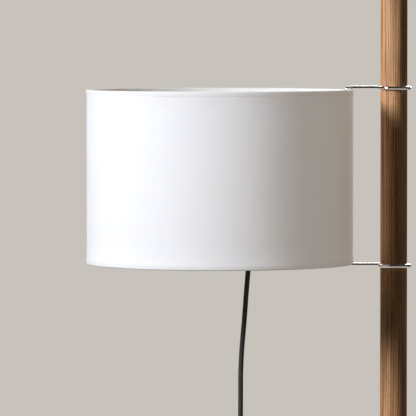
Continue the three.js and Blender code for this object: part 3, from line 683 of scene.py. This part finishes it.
def dress(material, *nodes):
    """Gives CAD nodes that keep their own shape a finished material."""
    for name in nodes:
        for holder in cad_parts[name].material_slots:
            holder.material = material


zinc_steel = metal_finish("zinc_steel", (0.56, 0.56, 0.57), 0.36, 0.25, 0.01 * MM)
ceramic = moulded_finish("ceramic", (0.78, 0.75, 0.69), 0.3, 400.0, 0.03 * MM, variation=0.4)
dress(zinc_steel, "switch_screw_1", "switch_screw_2")
dress(ceramic, "contact_block")

SPRING_R, SPRING_WIRE_R, SPRING_FOOT, SPRING_TOP, SPRING_COILS = 5.4, 0.5, 3.1, 13.6, 4
turn = np.linspace(0, 2 * math.pi * SPRING_COILS, 36 * SPRING_COILS + 1)
helix = np.stack([SPRING_R * np.cos(turn), SPRING_R * np.sin(turn),
                  np.linspace(SPRING_FOOT, SPRING_TOP, len(turn))], axis=1)
spring = piece("spring_coil", carried(on_switch(helix), SPRING_WIRE_R * MM, 10), zinc_steel, "root",
               "button_spring")
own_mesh(spring)
on_cord.append(spring)
on_cord += [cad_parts[name] for name in ("switch_screw_1", "switch_screw_2", "contact_block")]


# ---- Pole --------------------------------------------------------------------------------------
# A solid 40 mm dowel of oiled walnut, turned and sanded, with a softened top edge. A brass insert
# is glued into its foot, and a bolt through the hub pulls it down into its socket.
pole_low, pole_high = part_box("pole")
POLE_R = float(pole_high.x - pole_low.x) / 2
pole_foot, pole_top = float(pole_low.z), float(pole_high.z)


RING_SPACING = 3.4 * MM
RING_WANDER = 14 * MM


def wood_effect():
    """Straight-grained wood, read from each point's place in a log whose pith is the z axis.

    Year rings are the sine of the distance from the pith, which a slow noise pushes in and out.
    Broad bands, streaks and fine lines stretched along the grain are added to them, light and dark
    are mixed by the sum, and dark pores lie over both."""
    tree, take, give = effect(
        "wood_grain",
        {"Place": "Vector", "Light": "Color", "Dark": "Color", "Pore": "Color"},
        {"Color": "Color", "Roughness": "Float", "Height": "Float"})

    def streaks(across, along, detail, distortion=0.0):
        """Noise whose patches are 1/across metres wide and 1/along metres long."""
        scale = (across, across, along)
        stretched = node(tree, "ShaderNodeMapping", {"Vector": take["Place"], "Scale": scale})
        return noise(tree, stretched.outputs[0], 1.0, detail, Distortion=distortion)

    across_grain = node(tree, "ShaderNodeVectorMath", {
        0: take["Place"], 1: (1.0, 1.0, 0.0),
    }, operation="MULTIPLY").outputs[0]
    from_pith = node(tree, "ShaderNodeVectorMath", {0: across_grain}, operation="LENGTH").outputs["Value"]
    pushed = math_node(tree, "MULTIPLY_ADD", streaks(28.0, 1.6, 3.0), RING_WANDER, from_pith)
    rings = math_node(tree, "SINE", math_node(tree, "MULTIPLY", pushed, 2 * math.pi / RING_SPACING))

    bands = streaks(60.0, 2.6, 2.0, 0.8)
    flames = streaks(260.0, 5.5, 3.0, 1.2)
    lines = streaks(1100.0, 14.0, 2.0)
    total = math_node(tree, "MULTIPLY", rings, 0.07)
    for layer, weight in ((bands, 0.5), (flames, 0.5), (lines, 0.25)):
        total = math_node(tree, "MULTIPLY_ADD", layer, weight, total)
    lightness = node(tree, "ShaderNodeMapRange", {
        "Value": total, "From Min": 0.46, "From Max": 0.73, "To Min": 0.0, "To Max": 1.0,
    }).outputs[0]
    pores = streaks(2600.0, 90.0, 1.0)
    base = color_mix(tree, lightness, take["Dark"], take["Light"])
    open_pore = node(tree, "ShaderNodeMapRange", {
        "Value": pores, "From Min": 0.62, "From Max": 0.72, "To Min": 0.0, "To Max": 0.65,
    }).outputs[0]
    color = color_mix(tree, open_pore, base, take["Pore"])
    rough = node(tree, "ShaderNodeMapRange", {
        "Value": lightness, "From Min": 0.0, "From Max": 1.0, "To Min": 0.5, "To Max": 0.37,
    }).outputs[0]
    feed(tree, give, {"Color": color, "Roughness": rough,
                      "Height": math_node(tree, "SUBTRACT", lines, open_pore)})
    return tree


wood_grain = wood_effect()


def wood_finish(name, light, dark, pore):
    """Oiled walnut whose grain runs along the piece it is on."""
    material, tree, shader = finish(name, {"Specular IOR Level": 0.5})
    place = node(tree, "ShaderNodeAttribute", {}, attribute_name="grain").outputs["Vector"]
    made = use(tree, wood_grain, {
        "Place": place, "Light": (*light, 1), "Dark": (*dark, 1), "Pore": (*pore, 1),
    })
    feed(tree, shader, {"Base Color": made["Color"], "Roughness": made["Roughness"],
                        "Normal": raised(tree, made["Height"], 0.06 * MM)})
    return material


walnut = wood_finish("walnut", (0.97, 0.56, 0.26), (0.34, 0.13, 0.045), (0.09, 0.038, 0.018))

pole_profile = rounded([(POLE_R, pole_foot), (POLE_R, pole_top), (0, pole_top)], 3 * MM, 6)
POLE_IN_LOG = (0.045, 0.02, 0)  # where the pole's foot lies from the log's pith
pole_local = turned(pole_profile, 128)
piece("pole_dowel", put(pole_local, (pole_x, 0, 0)), walnut, "root", "pole",
      grain=pole_local + POLE_IN_LOG)
dress(brass, "pole_insert")
dress(zinc_steel, "pole_bolt", "bolt_washer")


# ---- Hub and legs ------------------------------------------------------------------------------
# A turned walnut hub holds the pole and three splayed round legs. Each leg is glued into a slanting
# bore, held by a countersunk screw from below, tapers to the floor and stands on a rubber pad.
hub_low, hub_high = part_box("hub")
HUB_R, hub_bottom, hub_top = float(hub_high.y - hub_low.y) / 2, float(hub_low.z), float(hub_high.z)
BORE_R, BORE_TOP = 11 * MM, 152 * MM


def hub_grid():
    """The hub's section turned about Z: bolt recess, flat underside, straight belt, a long curve in
    to the pole, and a small step at its top."""
    curve = through([(HUB_R, hub_bottom + 50 * MM), (HUB_R - 3 * MM, hub_bottom + 66 * MM),
                     (HUB_R - 11 * MM, hub_bottom + 84 * MM), (HUB_R - 16 * MM, hub_top - 8 * MM),
                     (HUB_R - 18 * MM, hub_top)], 4 * MM)
    below = rounded([(4.3 * MM, BORE_TOP), (BORE_R, BORE_TOP), (BORE_R, hub_bottom),
                     (HUB_R, hub_bottom), (HUB_R, hub_bottom + 40 * MM)], 4 * MM, 5)
    above = rounded([curve[-2], curve[-1], (POLE_R, hub_top)], 1 * MM, 4)
    return turned(np.vstack([below, curve[:-1], above[1:]]), 96)


HUB_IN_LOG = (0.07, 0.05, 0.3)
hub_local = hub_grid()
piece("hub_turning", put(hub_local, (pole_x, 0, 0)), walnut, "root", "hub",
      grain=hub_local + HUB_IN_LOG)

LEG_ANGLES = (0, 120, 240)
LEG_DOWN = math.radians(30)
LEG_START = np.array([22, 0, 165 + 26 * math.tan(LEG_DOWN)]) * MM
LEG_STATIONS, LEG_RADII = np.array([0, 50, 216, 380]) * MM, np.array([13, 13, 11.4, 9]) * MM
LEG_CUT = 6.3 * MM
PAD_REACH, PAD_LONG, PAD_WIDE, PAD_HIGH = 323, 20, 11, 6
SCREW_REACH = 38


def leg_grid(sides=48):
    """A tapered dowel down the leg's axis, cut level at its foot: each line along the leg runs to
    the distance where its height is the foot's, so the last row lies in one flat plane."""
    down = np.array([math.cos(LEG_DOWN), 0, -math.sin(LEG_DOWN)])
    up = np.array([math.sin(LEG_DOWN), 0, math.cos(LEG_DOWN)])
    turn = 2 * np.pi * np.arange(sides) / sides
    taper = (LEG_RADII[3] - LEG_RADII[2]) / (LEG_STATIONS[3] - LEG_STATIONS[2])
    lift = np.cos(turn) * up[2]
    start_radius = LEG_RADII[2] - taper * LEG_STATIONS[2]
    ends = (LEG_START[2] + start_radius * lift - LEG_CUT) / (-down[2] - taper * lift)
    share = np.linspace(0, 1, 40)[:, None]
    s = share * ends[None]
    r = np.interp(s, LEG_STATIONS, LEG_RADII)
    local = np.stack([r * np.cos(turn), r * np.sin(turn), s], axis=-1)
    placed = LEG_START + local @ np.stack([up, (0, 1, 0), down])
    return placed, local


def screw_grid(head, shank, long, sides=32):
    """A countersunk screw along +Z with its head at 0: a hexagonal recess drawn as a cone."""
    return turned([(0, 1.4), (head * 0.42, 1.3), (head * 0.45, 0.1), (head * 0.5, 0), (head, 0.1),
                   (head, 0.5), (shank, head - shank + 0.5), (shank, long), (0, long + 1)], sides) * MM


def turned_round(grid, angle):
    """The grid turned about the pole's axis, and moved to the lamp's place."""
    side = (math.cos(math.radians(angle)), math.sin(math.radians(angle)), 0)
    return put(grid, (pole_x, 0, 0), side=side)


turn = 2 * np.pi * np.arange(64) / 64
pad_outline = np.stack([PAD_LONG * np.cos(turn), PAD_WIDE * np.sin(turn)], axis=1)
pad_local = slab(pad_outline, 0, PAD_HIGH, 1.2) * MM + (PAD_REACH * MM, 0, 0)
leg_placed, leg_local = leg_grid()
screw_local = screw_grid(4.6, 2.2, 20) + (SCREW_REACH * MM, 0, hub_bottom - 0.2 * MM)
for number, angle in enumerate(LEG_ANGLES, 1):
    leg_in_log = (0.05 * number, 0.04, number)
    piece(f"leg_dowel_{number}", turned_round(leg_placed, angle), walnut, "root", f"leg_{number}",
          grain=leg_local + leg_in_log)
    piece(f"leg_bolt_{number}", turned_round(screw_local, angle), zinc_steel, "root",
          f"leg_screw_{number}")
    piece(f"foot_rubber_{number}", turned_round(pad_local, angle), black_rubber, "root",
          f"foot_pad_{number}")


# ---- Wire carriage -----------------------------------------------------------------------------
# Two bent rods of 5 mm chromed wire. Each has an open loop that grips the pole, an arm over or
# under the shade's edge, and half of the spine inside it, where a ferrule with two screws joins them.
ROD_R = 2.5 * MM
LOOP_R = 23.3 * MM
LOOP_FROM = -157  # degrees, where the open loop ends
ARM_OVER_RIM = 2.8 * MM
ROD_BEND = 5 * MM
spine = middle("spine_ferrule")


def arc(centre, radius, start, end, steps, across, up):
    """centre + radius (cos a * across + sin a * up), for a from start to end in degrees."""
    a = np.radians(np.linspace(start, end, steps + 1))[:, None]
    return np.asarray(centre, float) + radius * (np.cos(a) * np.array(across) + np.sin(a) * np.array(up))


def domed(path, radius):
    """The path with both ends drawn in as half balls, and the rings' radii: a ring at the distance
    r (1 - cos a) from an end has the radius r sin a."""
    run = distances(path)
    bend = np.linspace(0, math.pi / 2, 7)
    near = radius * (1 - np.cos(bend))
    inside = run[(run > 1.1 * radius) & (run < run[-1] - 1.1 * radius)]
    wanted = np.concatenate([near, inside, run[-1] - near[::-1]])
    end_radii = radius * np.sin(bend)
    radii = np.concatenate([end_radii, np.full(len(inside), radius), end_radii[::-1]])
    return at_distances(path, wanted), radii


def rod_path(side):
    """The bent rod's centreline. side is 1 for the upper rod and -1 for the lower one."""
    edge = shade_top if side > 0 else shade_bottom
    z = edge + side * ARM_OVER_RIM
    y = LOOP_R
    bend_at = (spine[0] + ROD_BEND, y, z - side * ROD_BEND)
    loop = arc((pole_x, 0, z), LOOP_R, LOOP_FROM, 90, 72, (1, 0, 0), (0, 1, 0))
    bend = arc(bend_at, ROD_BEND, 90, 180, 10, (1, 0, 0), (0, 0, side))
    end = np.array([[spine[0], y, spine[2] + side * 0.5 * MM]])
    return np.vstack([loop, bend, end])


chrome = metal_finish("chromed_wire", (0.83, 0.83, 0.84), 0.07, 0.08, 0.002 * MM)
for side, name in ((1, "upper_rod"), (-1, "lower_rod")):
    path, radii = domed(evenly(rod_path(side), 300), ROD_R)
    piece(name + "_wire", carried(path, radii, 24), chrome, "carriage", name)

ferrule_low, ferrule_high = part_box("spine_ferrule")
FERRULE_R = float(ferrule_high.x - ferrule_low.x) / 2
FERRULE_HALF = float(ferrule_high.z - ferrule_low.z) / 2
ferrule_profile = rounded([(ROD_R, -FERRULE_HALF), (FERRULE_R, -FERRULE_HALF), (FERRULE_R, FERRULE_HALF),
                           (ROD_R, FERRULE_HALF)], 0.8 * MM, 4)
piece("ferrule_sleeve", put(turned(ferrule_profile, 40), spine), chrome, "carriage", "spine_ferrule",
      closed=True)


def socket_screw(radius, long):
    """A set screw along +Z that ends at its outer face: a chamfered rim round a hexagonal socket
    drawn as a recess."""
    return turned([(0, long - 1.1 * radius), (0.52 * radius, long - 0.9 * radius),
                   (0.55 * radius, long - 0.1 * MM), (0.8 * radius, long),
                   (radius, long - 0.15 * radius), (radius, 0), (0, 0)], 24)


for number, lift in ((1, -10 * MM), (2, 10 * MM)):
    grid = put(socket_screw(1.6 * MM, 3.0 * MM), spine + (0, -ROD_R, lift), toward=(0, -1, 0))
    piece(f"ferrule_set_screw_{number}", grid, zinc_steel, "carriage", f"ferrule_screw_{number}")


# ---- Holder arm --------------------------------------------------------------------------------
# A short chromed rod from the spine to the shade's axis. A small block clamps it to the spine with
# two set screws, and its other end is a flat eyelet that the lampholder hangs from.
holder_x, holder_y = middle("holder_shell")[:2]
ARM_Z = shade_top - 21 * MM
arm_start = np.array([spine[0], spine[1], ARM_Z])
arm_end = np.array([holder_x, holder_y, ARM_Z])
arm_along = unit(arm_end - arm_start)
EYELET_R, EYELET_BORE_R, EYELET_HALF = 11 * MM, 5.2 * MM, 2.5 * MM
SET_SCREW_R = 1.6 * MM

block = slab(rounded_rectangle(22, 12, 5, 72), -8, 8, 0.9) * MM + (5 * MM, 0, 0)
piece("spine_clamp_block", put(block, arm_start, side=arm_along), chrome, "carriage", "arm_block")
bar_path = evenly(np.array([arm_start + arm_along * 4 * MM, arm_end - arm_along * 9 * MM]), 40)
piece("holder_arm_bar", carried(bar_path, ROD_R, 24), chrome, "carriage")
eyelet_profile = rounded([(EYELET_BORE_R, -EYELET_HALF), (EYELET_R, -EYELET_HALF),
                          (EYELET_R, EYELET_HALF), (EYELET_BORE_R, EYELET_HALF)],
                         0.8 * MM, 4, closed=True)
piece("holder_arm_eyelet", put(turned(eyelet_profile, 56), arm_end), chrome, "carriage", "holder_arm",
      closed=True)
top_screw_at = arm_start + arm_along * 11 * MM + (0, 0, 2.8 * MM)
top_screw = put(socket_screw(SET_SCREW_R, 5.6 * MM), top_screw_at)
piece("block_set_screw_top", top_screw, zinc_steel, "carriage", "block_screw_1")
block_side = np.cross(arm_along, (0, 0, 1))
side_screw_at = arm_start + block_side * 2.7 * MM
side_screw = put(socket_screw(SET_SCREW_R, 3.7 * MM), side_screw_at, toward=block_side)
piece("block_set_screw_side", side_screw, zinc_steel, "carriage", "block_screw_2")


# ---- Lampholder --------------------------------------------------------------------------------
# A white E27 lampholder hangs cap up on a threaded nipple: cap with a side outlet and rubber gland,
# threaded shell with a flange, ceramic core with brass contacts, and a ring nut for the shade.
holder_at = np.array([holder_x, holder_y, shade_top])
OUTLET_AT = np.array([20, 0, -38]) * MM
OUTLET_ALONG = unit((1, 0, -1))


def on_holder(profile, sides=64):
    """A turned profile in millimetres, measured from the shade's axis at its top edge."""
    return put(turned(profile, sides) * MM, holder_at)


def hexagon(across, count=72):
    """A hexagon outline whose corners are slightly rounded."""
    turn = np.arange(6) * math.pi / 3
    loop = rounded(across * np.stack([np.cos(turn), np.sin(turn)], axis=1), 1.0, 3, closed=True)
    return evenly(np.vstack([loop, loop[:1]]), count)[:-1]


def threaded(radius, low, high, pitch, depth):
    """A wall from low to high with rounded rings for a thread: radius + depth cos(2 pi z / pitch)."""
    z = np.linspace(low, high, max(int(abs(high - low) / pitch * 8), 8) + 1)
    return np.column_stack([radius - depth / 2 + depth / 2 * np.cos(2 * math.pi * (z - low) / pitch), z])


white_plastic = moulded_finish("white_plastic", (0.8, 0.79, 0.76), 0.38, 1400.0, 0.03 * MM,
                               variation=0.3)
white_wire = moulded_finish("white_wire", (0.78, 0.78, 0.77), 0.45, 900.0, 0.04 * MM, variation=0.4)

nipple = np.vstack([[(3.2, -34)], threaded(5, -34, -12, 1.0, 0.5), [(3.2, -12)]])
piece("threaded_nipple", on_holder(nipple, 40), zinc_steel, "carriage", "holder_nipple", closed=True)
for name, across, low, high, metal in (("holder_top_nut", 9.8, -18.2, -13.2, chrome),
                                       ("holder_lock_nut", 8.5, -31, -27, zinc_steel)):
    nut = put(slab(hexagon(across), low, high, 0.7) * MM, holder_at)
    piece(name + "_hex", nut, metal, "carriage", name)

cap_profile = np.vstack([
    rounded([(5.3, -23.8), (10, -23.8), (16, -26.6), (19.2, -31), (20, -37), (20, -48)], 3, 5),
    rounded([(17.8, -48), (17.8, -37), (17, -32), (14.6, -28.6), (9.5, -26), (5.3, -26)], 3, 5)])
piece("lampholder_cap", on_holder(cap_profile), white_plastic, "carriage", "holder_cap", closed=True)
gland_at = holder_at + OUTLET_ALONG * 2 * MM + OUTLET_AT
gland = put(sleeve_grid(5.9, 4.6, 22, 6) * MM, gland_at, toward=OUTLET_ALONG, side=(0, 1, 0))
outlet_gland = piece("outlet_gland", gland, black_rubber, "carriage", "cord_gland")

shell_profile = np.vstack([
    rounded([(17.2, -48.3), (19.5, -48.3), (19.5, -57), (24, -57), (24, -60), (19.6, -60)], 0.8, 3),
    threaded(19.5, -61, -92, 3.0, 0.9), [(17.2, -92)]])
piece("lampholder_shell", on_holder(shell_profile), white_plastic, "carriage", "holder_shell", closed=True)


def ring_nut_grid():
    """The shade's ring nut with 24 grip ribs: radius (1 + 0.011 cos(24 a)) on its outer wall."""
    sides, rib_count, rib_share, outer_from = 240, 24, 0.011, 23
    profile = rounded([(19.8, -70.6), (24, -70.6), (24, -62.6), (19.8, -62.6)], 0.8, 3, closed=True)
    grid = turned(profile, sides)
    wave = np.cos(rib_count * 2 * np.pi * np.arange(sides) / sides)[None]
    ribs = 1 + rib_share * wave * (profile[:, 0] > outer_from)[:, None]
    grid[..., :2] *= ribs[..., None]
    return put(grid * MM, holder_at)


piece("ring_nut_ribbed", ring_nut_grid(), white_plastic, "carriage", "shade_ring_nut", closed=True)
dress(ceramic, "holder_core")
dress(brass, "centre_contact", "screw_shell")


# ---- Bulb --------------------------------------------------------------------------------------
# An opal E27 bulb, unlit: a drawn metal screw cap with a rolled thread, a black glass insulator, a
# brass tip, and a pear-shaped glass frosted white inside.
cap_outer = threaded(13.4, -74, -94, 3.6, 1.4)
bulb_cap_profile = np.vstack([[(11.2, -73)], cap_outer, [(13.4, -97), (12.2, -97), (11.2, -75)]])
bulb_metal = metal_finish("bulb_metal", (0.66, 0.66, 0.66), 0.3, 0.2, 0.01 * MM)
piece("bulb_screw_cap", on_holder(bulb_cap_profile, 56), bulb_metal, "carriage", "bulb_cap",
      slot="zinc_steel", closed=True)

glass_outside = through([(11.5, -90), (12.1, -96), (13.6, -99.5), (17, -107), (23, -119),
                         (28.5, -133), (30, -146), (27, -161), (18, -173.5), (8, -178.2),
                         (0, -179)], 2.5)


def glass_finish():
    """Opal glass: milk-white and glossy, with a faint pearly mottle inside."""
    material, tree, shader = finish("opal_glass", {
        "Roughness": 0.16, "Subsurface Weight": 0.35, "Subsurface Radius": (0.01, 0.01, 0.01),
        "Coat Weight": 0.3, "IOR": 1.5,
    })
    place = node(tree, "ShaderNodeTexCoord", {}).outputs["Object"]
    mottle = noise(tree, place, 90.0, 4.0)
    milk = color_mix(tree, mottle, (0.83, 0.82, 0.79, 1), (0.88, 0.875, 0.86, 1))
    feed(tree, shader, {"Base Color": milk, "Normal": raised(tree, mottle, 0.02 * MM)})
    return material


opal_glass = glass_finish()
piece("bulb_globe", on_holder(glass_outside, 72), opal_glass, "carriage", "bulb_glass")
dress(black_plastic, "bulb_insulator")
dress(brass, "bulb_tip")


# ---- Shade -------------------------------------------------------------------------------------
# A 400 mm drum of off-white linen-look cotton laminated on a white styrene liner, lapped and glued
# along one seam at the back, edged with cotton tape over two wire rings, on a three-spoked spider.
drum_low, drum_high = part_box("shade_drum")
DRUM_R = float(drum_high.y - drum_low.y) / 2
DRUM_WALL = 1.3 * MM
FABRIC = 0.6 * MM
HEM = 13 * MM
SEAM_AT = math.radians(90)
SEAM_HALF = math.radians(1.9)
drum_ends = float(drum_low.z), float(drum_high.z)
shade_axis = np.array([holder_x, holder_y, 0])


def cloth_grid():
    """The drum's cloth as a closed wall: radius + a step of a tenth of a millimetre where the edge
    is turned in at top and bottom, + the lap's thickness on the seam, with soft shoulders."""
    base = np.linspace(0, 2 * math.pi, 240, endpoint=False)
    near = SEAM_AT + SEAM_HALF * np.array([-1.12, -1.04, -1, -0.96, 0.9, 0.96, 1, 1.04, 1.12, 0, 0.5, -0.5])
    angle = np.sort(np.concatenate([base[np.abs(base - SEAM_AT) > 1.15 * SEAM_HALF], near]))
    low, high = drum_ends
    hem_steps = np.array([-0.4, 0, 0.4]) * MM
    plain = np.linspace(low + 30 * MM, high - 30 * MM, 9)
    z = np.concatenate([[low, low + 4 * MM], low + HEM + hem_steps, plain,
                        high - HEM + hem_steps, [high - 4 * MM, high]])
    inside = np.minimum(z - low, high - z)
    hem = np.interp(inside, [HEM - 0.4 * MM, HEM + 0.4 * MM], [0.12 * MM, 0])
    lap = np.interp(np.abs(angle - SEAM_AT), [0.96 * SEAM_HALF, 1.04 * SEAM_HALF], [0.4 * MM, 0])
    outer = DRUM_R - 0.12 * MM + hem[:, None] + lap[None]
    inner = np.full((2, len(angle)), DRUM_R - FABRIC)
    radius = np.concatenate([outer, inner])
    height = np.broadcast_to(np.concatenate([z, [high, low]])[:, None], radius.shape)
    return np.stack([radius * np.cos(angle), radius * np.sin(angle), height], axis=-1) + shade_axis


def weave_effect():
    """Plain-weave cloth on UV in metres: threads pass over and under each other, as the product of
    two sines, and thicker slubs run along single threads both ways."""
    tree, take, give = effect(
        "plain_weave", {"UV": "Vector", "Threads per metre": "Float", "Slub": "Float"},
        {"Height": "Float", "Tone": "Float"})
    split = node(tree, "ShaderNodeSeparateXYZ", {0: take["UV"]}).outputs
    waves = []
    for axis in ("X", "Y"):
        counted = math_node(tree, "MULTIPLY", split[axis], take["Threads per metre"])
        waves.append(math_node(tree, "SINE", math_node(tree, "MULTIPLY", counted, math.pi)))
    weave = math_node(tree, "MULTIPLY", *waves)
    slubs = []
    for scale in ((40.0, 1400.0, 1.0), (1400.0, 40.0, 1.0)):
        stretched = node(tree, "ShaderNodeMapping", {"Vector": take["UV"], "Scale": scale})
        slubs.append(noise(tree, stretched.outputs[0], 1.0, 2.0))
    both = math_node(tree, "ADD", *slubs)
    feed(tree, give, {"Height": math_node(tree, "MULTIPLY_ADD", both, take["Slub"], weave),
                      "Tone": math_node(tree, "MULTIPLY", both, 0.5)})
    return tree


plain_weave = weave_effect()
LIGHT_REACH = (0.5 * MM, 0.42 * MM, 0.36 * MM)  # how far light spreads in the cloth and its liner


def cloth_finish(name, light, dark, threads, depth, sheen):
    """Woven cotton in two close tones."""
    material, tree, shader = finish(name, {
        "Roughness": 0.88, "Specular IOR Level": 0.25, "Sheen Weight": sheen, "Sheen Roughness": 0.5,
        "Subsurface Weight": 1.0, "Subsurface Radius": LIGHT_REACH, "Subsurface Scale": 1.0,
    })
    uv = node(tree, "ShaderNodeUVMap", {}, uv_map="UVMap").outputs[0]
    woven = use(tree, plain_weave, {"UV": uv, "Threads per metre": threads, "Slub": 1.2})
    tones = color_mix(tree, woven["Tone"], (*dark, 1), (*light, 1))
    feed(tree, shader, {"Base Color": tones, "Normal": raised(tree, woven["Height"], depth)})
    return material


shade_fabric = cloth_finish("shade_fabric", (0.93, 0.93, 0.93), (0.9, 0.9, 0.9), 2200.0, 0.03 * MM, 0.1)
edge_binding = cloth_finish("edge_binding", (0.93, 0.92, 0.895), (0.88, 0.87, 0.845), 1500.0, 0.06 * MM, 0.1)
liner_white = moulded_finish("liner_white", (0.9, 0.895, 0.88), 0.5, 900.0, 0.01 * MM, {
    "Subsurface Weight": 1.0, "Subsurface Radius": LIGHT_REACH, "Subsurface Scale": 1.0,
}, variation=0.08)

shade_cloth = piece("shade_cloth", cloth_grid(), shade_fabric, "carriage", "shade_drum", closed=True)
LINER_R = DRUM_R - FABRIC - 0.02 * MM
liner_profile = [(LINER_R, drum_ends[0]), (LINER_R, drum_ends[1]),
                 (DRUM_R - DRUM_WALL, drum_ends[1]), (DRUM_R - DRUM_WALL, drum_ends[0])]
shade_liner = piece("shade_liner", turned(liner_profile, 240) + shade_axis, liner_white, "carriage",
                    slot="shade_fabric", closed=True)


def tape_profile():
    """Section of the edge tape, in millimetres from the shade's axis and edge: 7 mm down outside,
    over the drum's edge, round the wire ring, and 6 mm down inside."""
    outside = rounded([(199.75, -7), (199.75, 0), (194, 0), (194, -6)], 1.9, 8)
    inside = rounded([(194.4, -6), (194.4, -0.4), (199.4, -0.4), (199.4, -7)], 1.5, 8)
    return np.vstack([outside, inside])


RING_R, RING_WIRE_R, RING_DEPTH = 196.1, 1.4, 2.2
edge_tapes = []
for name, edge, up in (("top", shade_top, 1), ("bottom", shade_bottom, -1)):
    tape = turned(tape_profile() * MM, 240) * (1, 1, up) + (holder_x, holder_y, edge)
    edge_tapes.append(piece(f"edge_tape_{name}", tape, edge_binding, "carriage", f"binding_{name}",
                            closed=True))
    wire = arc((RING_R, -RING_DEPTH), RING_WIRE_R, 0, 345, 15, (1, 0), (0, 1))
    ring = turned(wire * MM, 240) * (1, 1, up) + (holder_x, holder_y, edge)
    piece(f"ring_wire_{name}", ring, white_wire, "carriage", f"shade_ring_{name}", closed=True)

FITTER_Z = -61.3
SPOKE_ANGLES = (60, 180, 300)
fitter = rounded([(20.3, FITTER_Z - 1), (27, FITTER_Z - 1), (27, FITTER_Z + 1), (20.3, FITTER_Z + 1)],
                 0.4, 3, closed=True)
piece("spider_fitter", on_holder(fitter), white_wire, "carriage", "shade_spider", closed=True)
for number, angle in enumerate(SPOKE_ANGLES, 1):
    bend = arc((RING_R - 5, 0, FITTER_Z + 5), 5, -90, 0, 8, (1, 0, 0), (0, 0, 1))
    line = np.vstack([[(24.6, 0, FITTER_Z)], bend, [(RING_R, 0, -RING_DEPTH - RING_WIRE_R)]]) * MM
    side = (math.cos(math.radians(angle)), math.sin(math.radians(angle)), 0)
    spoke = carried(put(evenly(line, 90), holder_at, side=side), RING_WIRE_R * MM, 16)
    piece(f"spider_spoke_{number}", spoke, white_wire, "carriage")


# ---- Studio ------------------------------------------------------------------------------------
# A plain pale floor that fades out at its rim. One cool soft box stands to the left of the camera
# and one behind the lamp. A cool one in front and a warm one to the right light only the shade.
FLOOR_R = 2.6
SURROUND = (0.571, 0.539, 0.497)
SURROUND_FRONT = (0.02, 0.017, 0.014)
SURROUND_BACK = (0.085, 0.074, 0.062)
# name: direction towards the light, distance, size, watts, colour
SOFT_BOXES = {
    "key_box": ((-0.82, -0.57, 0.445), 4.0, 1.2, 176, (0.935, 0.94, 1.0)),
    "front_box": ((-0.3, -0.95, 0.15), 4.0, 1.5, 26, (0.97, 0.965, 1.0)),
    "fill_box": ((0.88, -0.47, 0.08), 3.0, 2.0, 25, (1.0, 0.87, 0.74)),
    "back_box": ((0.2, 0.95, 0.35), 3.5, 1.6, 110, (1.0, 0.97, 0.93)),
}


def floor_finish():
    """Pale floor, faintly mottled, that glows a little so that it stays pale, and whose alpha falls
    to 0 towards its rim."""
    material, tree, shader = finish("studio_floor", {"Roughness": 0.7, "Emission Strength": 0.42})
    place = node(tree, "ShaderNodeTexCoord", {}).outputs["Object"]
    tones = color_mix(tree, noise(tree, place, 3.0, 5.0), (0.6, 0.57, 0.53, 1), (0.66, 0.63, 0.59, 1))
    far = node(tree, "ShaderNodeVectorMath", {0: place}, operation="LENGTH").outputs["Value"]
    fade = node(tree, "ShaderNodeMapRange", {
        "Value": far, "From Min": 0.5 * FLOOR_R, "From Max": 0.97 * FLOOR_R, "To Min": 1.0, "To Max": 0.0,
    }, interpolation_type="SMOOTHSTEP")
    feed(tree, shader, {"Base Color": tones, "Emission Color": tones, "Alpha": fade.outputs[0]})
    return material


floor_mesh = skin("floor", turned([(FLOOR_R, -0.02), (FLOOR_R, 0), (0, 0)], 96) + (pole_x, 0, 0))
floor_mesh.materials.append(floor_finish())
floor = bpy.data.objects.new("floor", floor_mesh)
floor.visible_diffuse = False
bpy.context.scene.collection.objects.link(floor)


def soft_box(name, toward, distance, size, watts, color):
    """A square area light that faces the middle of the shade from a direction."""
    data = bpy.data.lights.new(name, "AREA")
    data.energy, data.size, data.color = watts, size, color
    box = bpy.data.objects.new(name, data)
    shade_middle = np.array([holder_x, holder_y, (shade_top + shade_bottom) / 2])
    box.location = shade_middle + distance * unit(toward)
    box.rotation_euler = Vector(-unit(toward)).to_track_quat("-Z", "Y").to_euler()
    bpy.context.scene.collection.objects.link(box)
    return box


boxes = {name: soft_box(name, *facts) for name, facts in SOFT_BOXES.items()}
shade_only = bpy.data.collections.new("shade_only")
for cloth in (shade_cloth, shade_liner, *edge_tapes):
    shade_only.objects.link(cloth)
for name in ("front_box", "fill_box"):
    boxes[name].light_linking.receiver_collection = shade_only


def studio_surround():
    """The world: the plain surround to the camera, and to everything else a dim light, weaker in
    front and to the left of the lamp than behind it and to the right."""
    world = bpy.data.worlds.new("studio")
    world.use_nodes = True
    tree = world.node_tree
    direction = node(tree, "ShaderNodeTexCoord", {}).outputs["Generated"]
    split = node(tree, "ShaderNodeSeparateXYZ", {0: direction}).outputs
    rightward = math_node(tree, "MULTIPLY_ADD", split["X"], 0.8, split["Y"])
    back = node(tree, "ShaderNodeMapRange", {
        "Value": rightward, "From Min": -0.6, "From Max": 0.6, "To Min": 0.0, "To Max": 1.0,
    }, interpolation_type="SMOOTHSTEP").outputs[0]
    light = color_mix(tree, back, (*SURROUND_FRONT, 1), (*SURROUND_BACK, 1))
    seen = node(tree, "ShaderNodeLightPath", {}).outputs["Is Camera Ray"]
    shown = color_mix(tree, seen, light, (*SURROUND, 1))
    feed(tree, tree.nodes["Background"], {"Color": shown})
    bpy.context.scene.world = world


studio_surround()
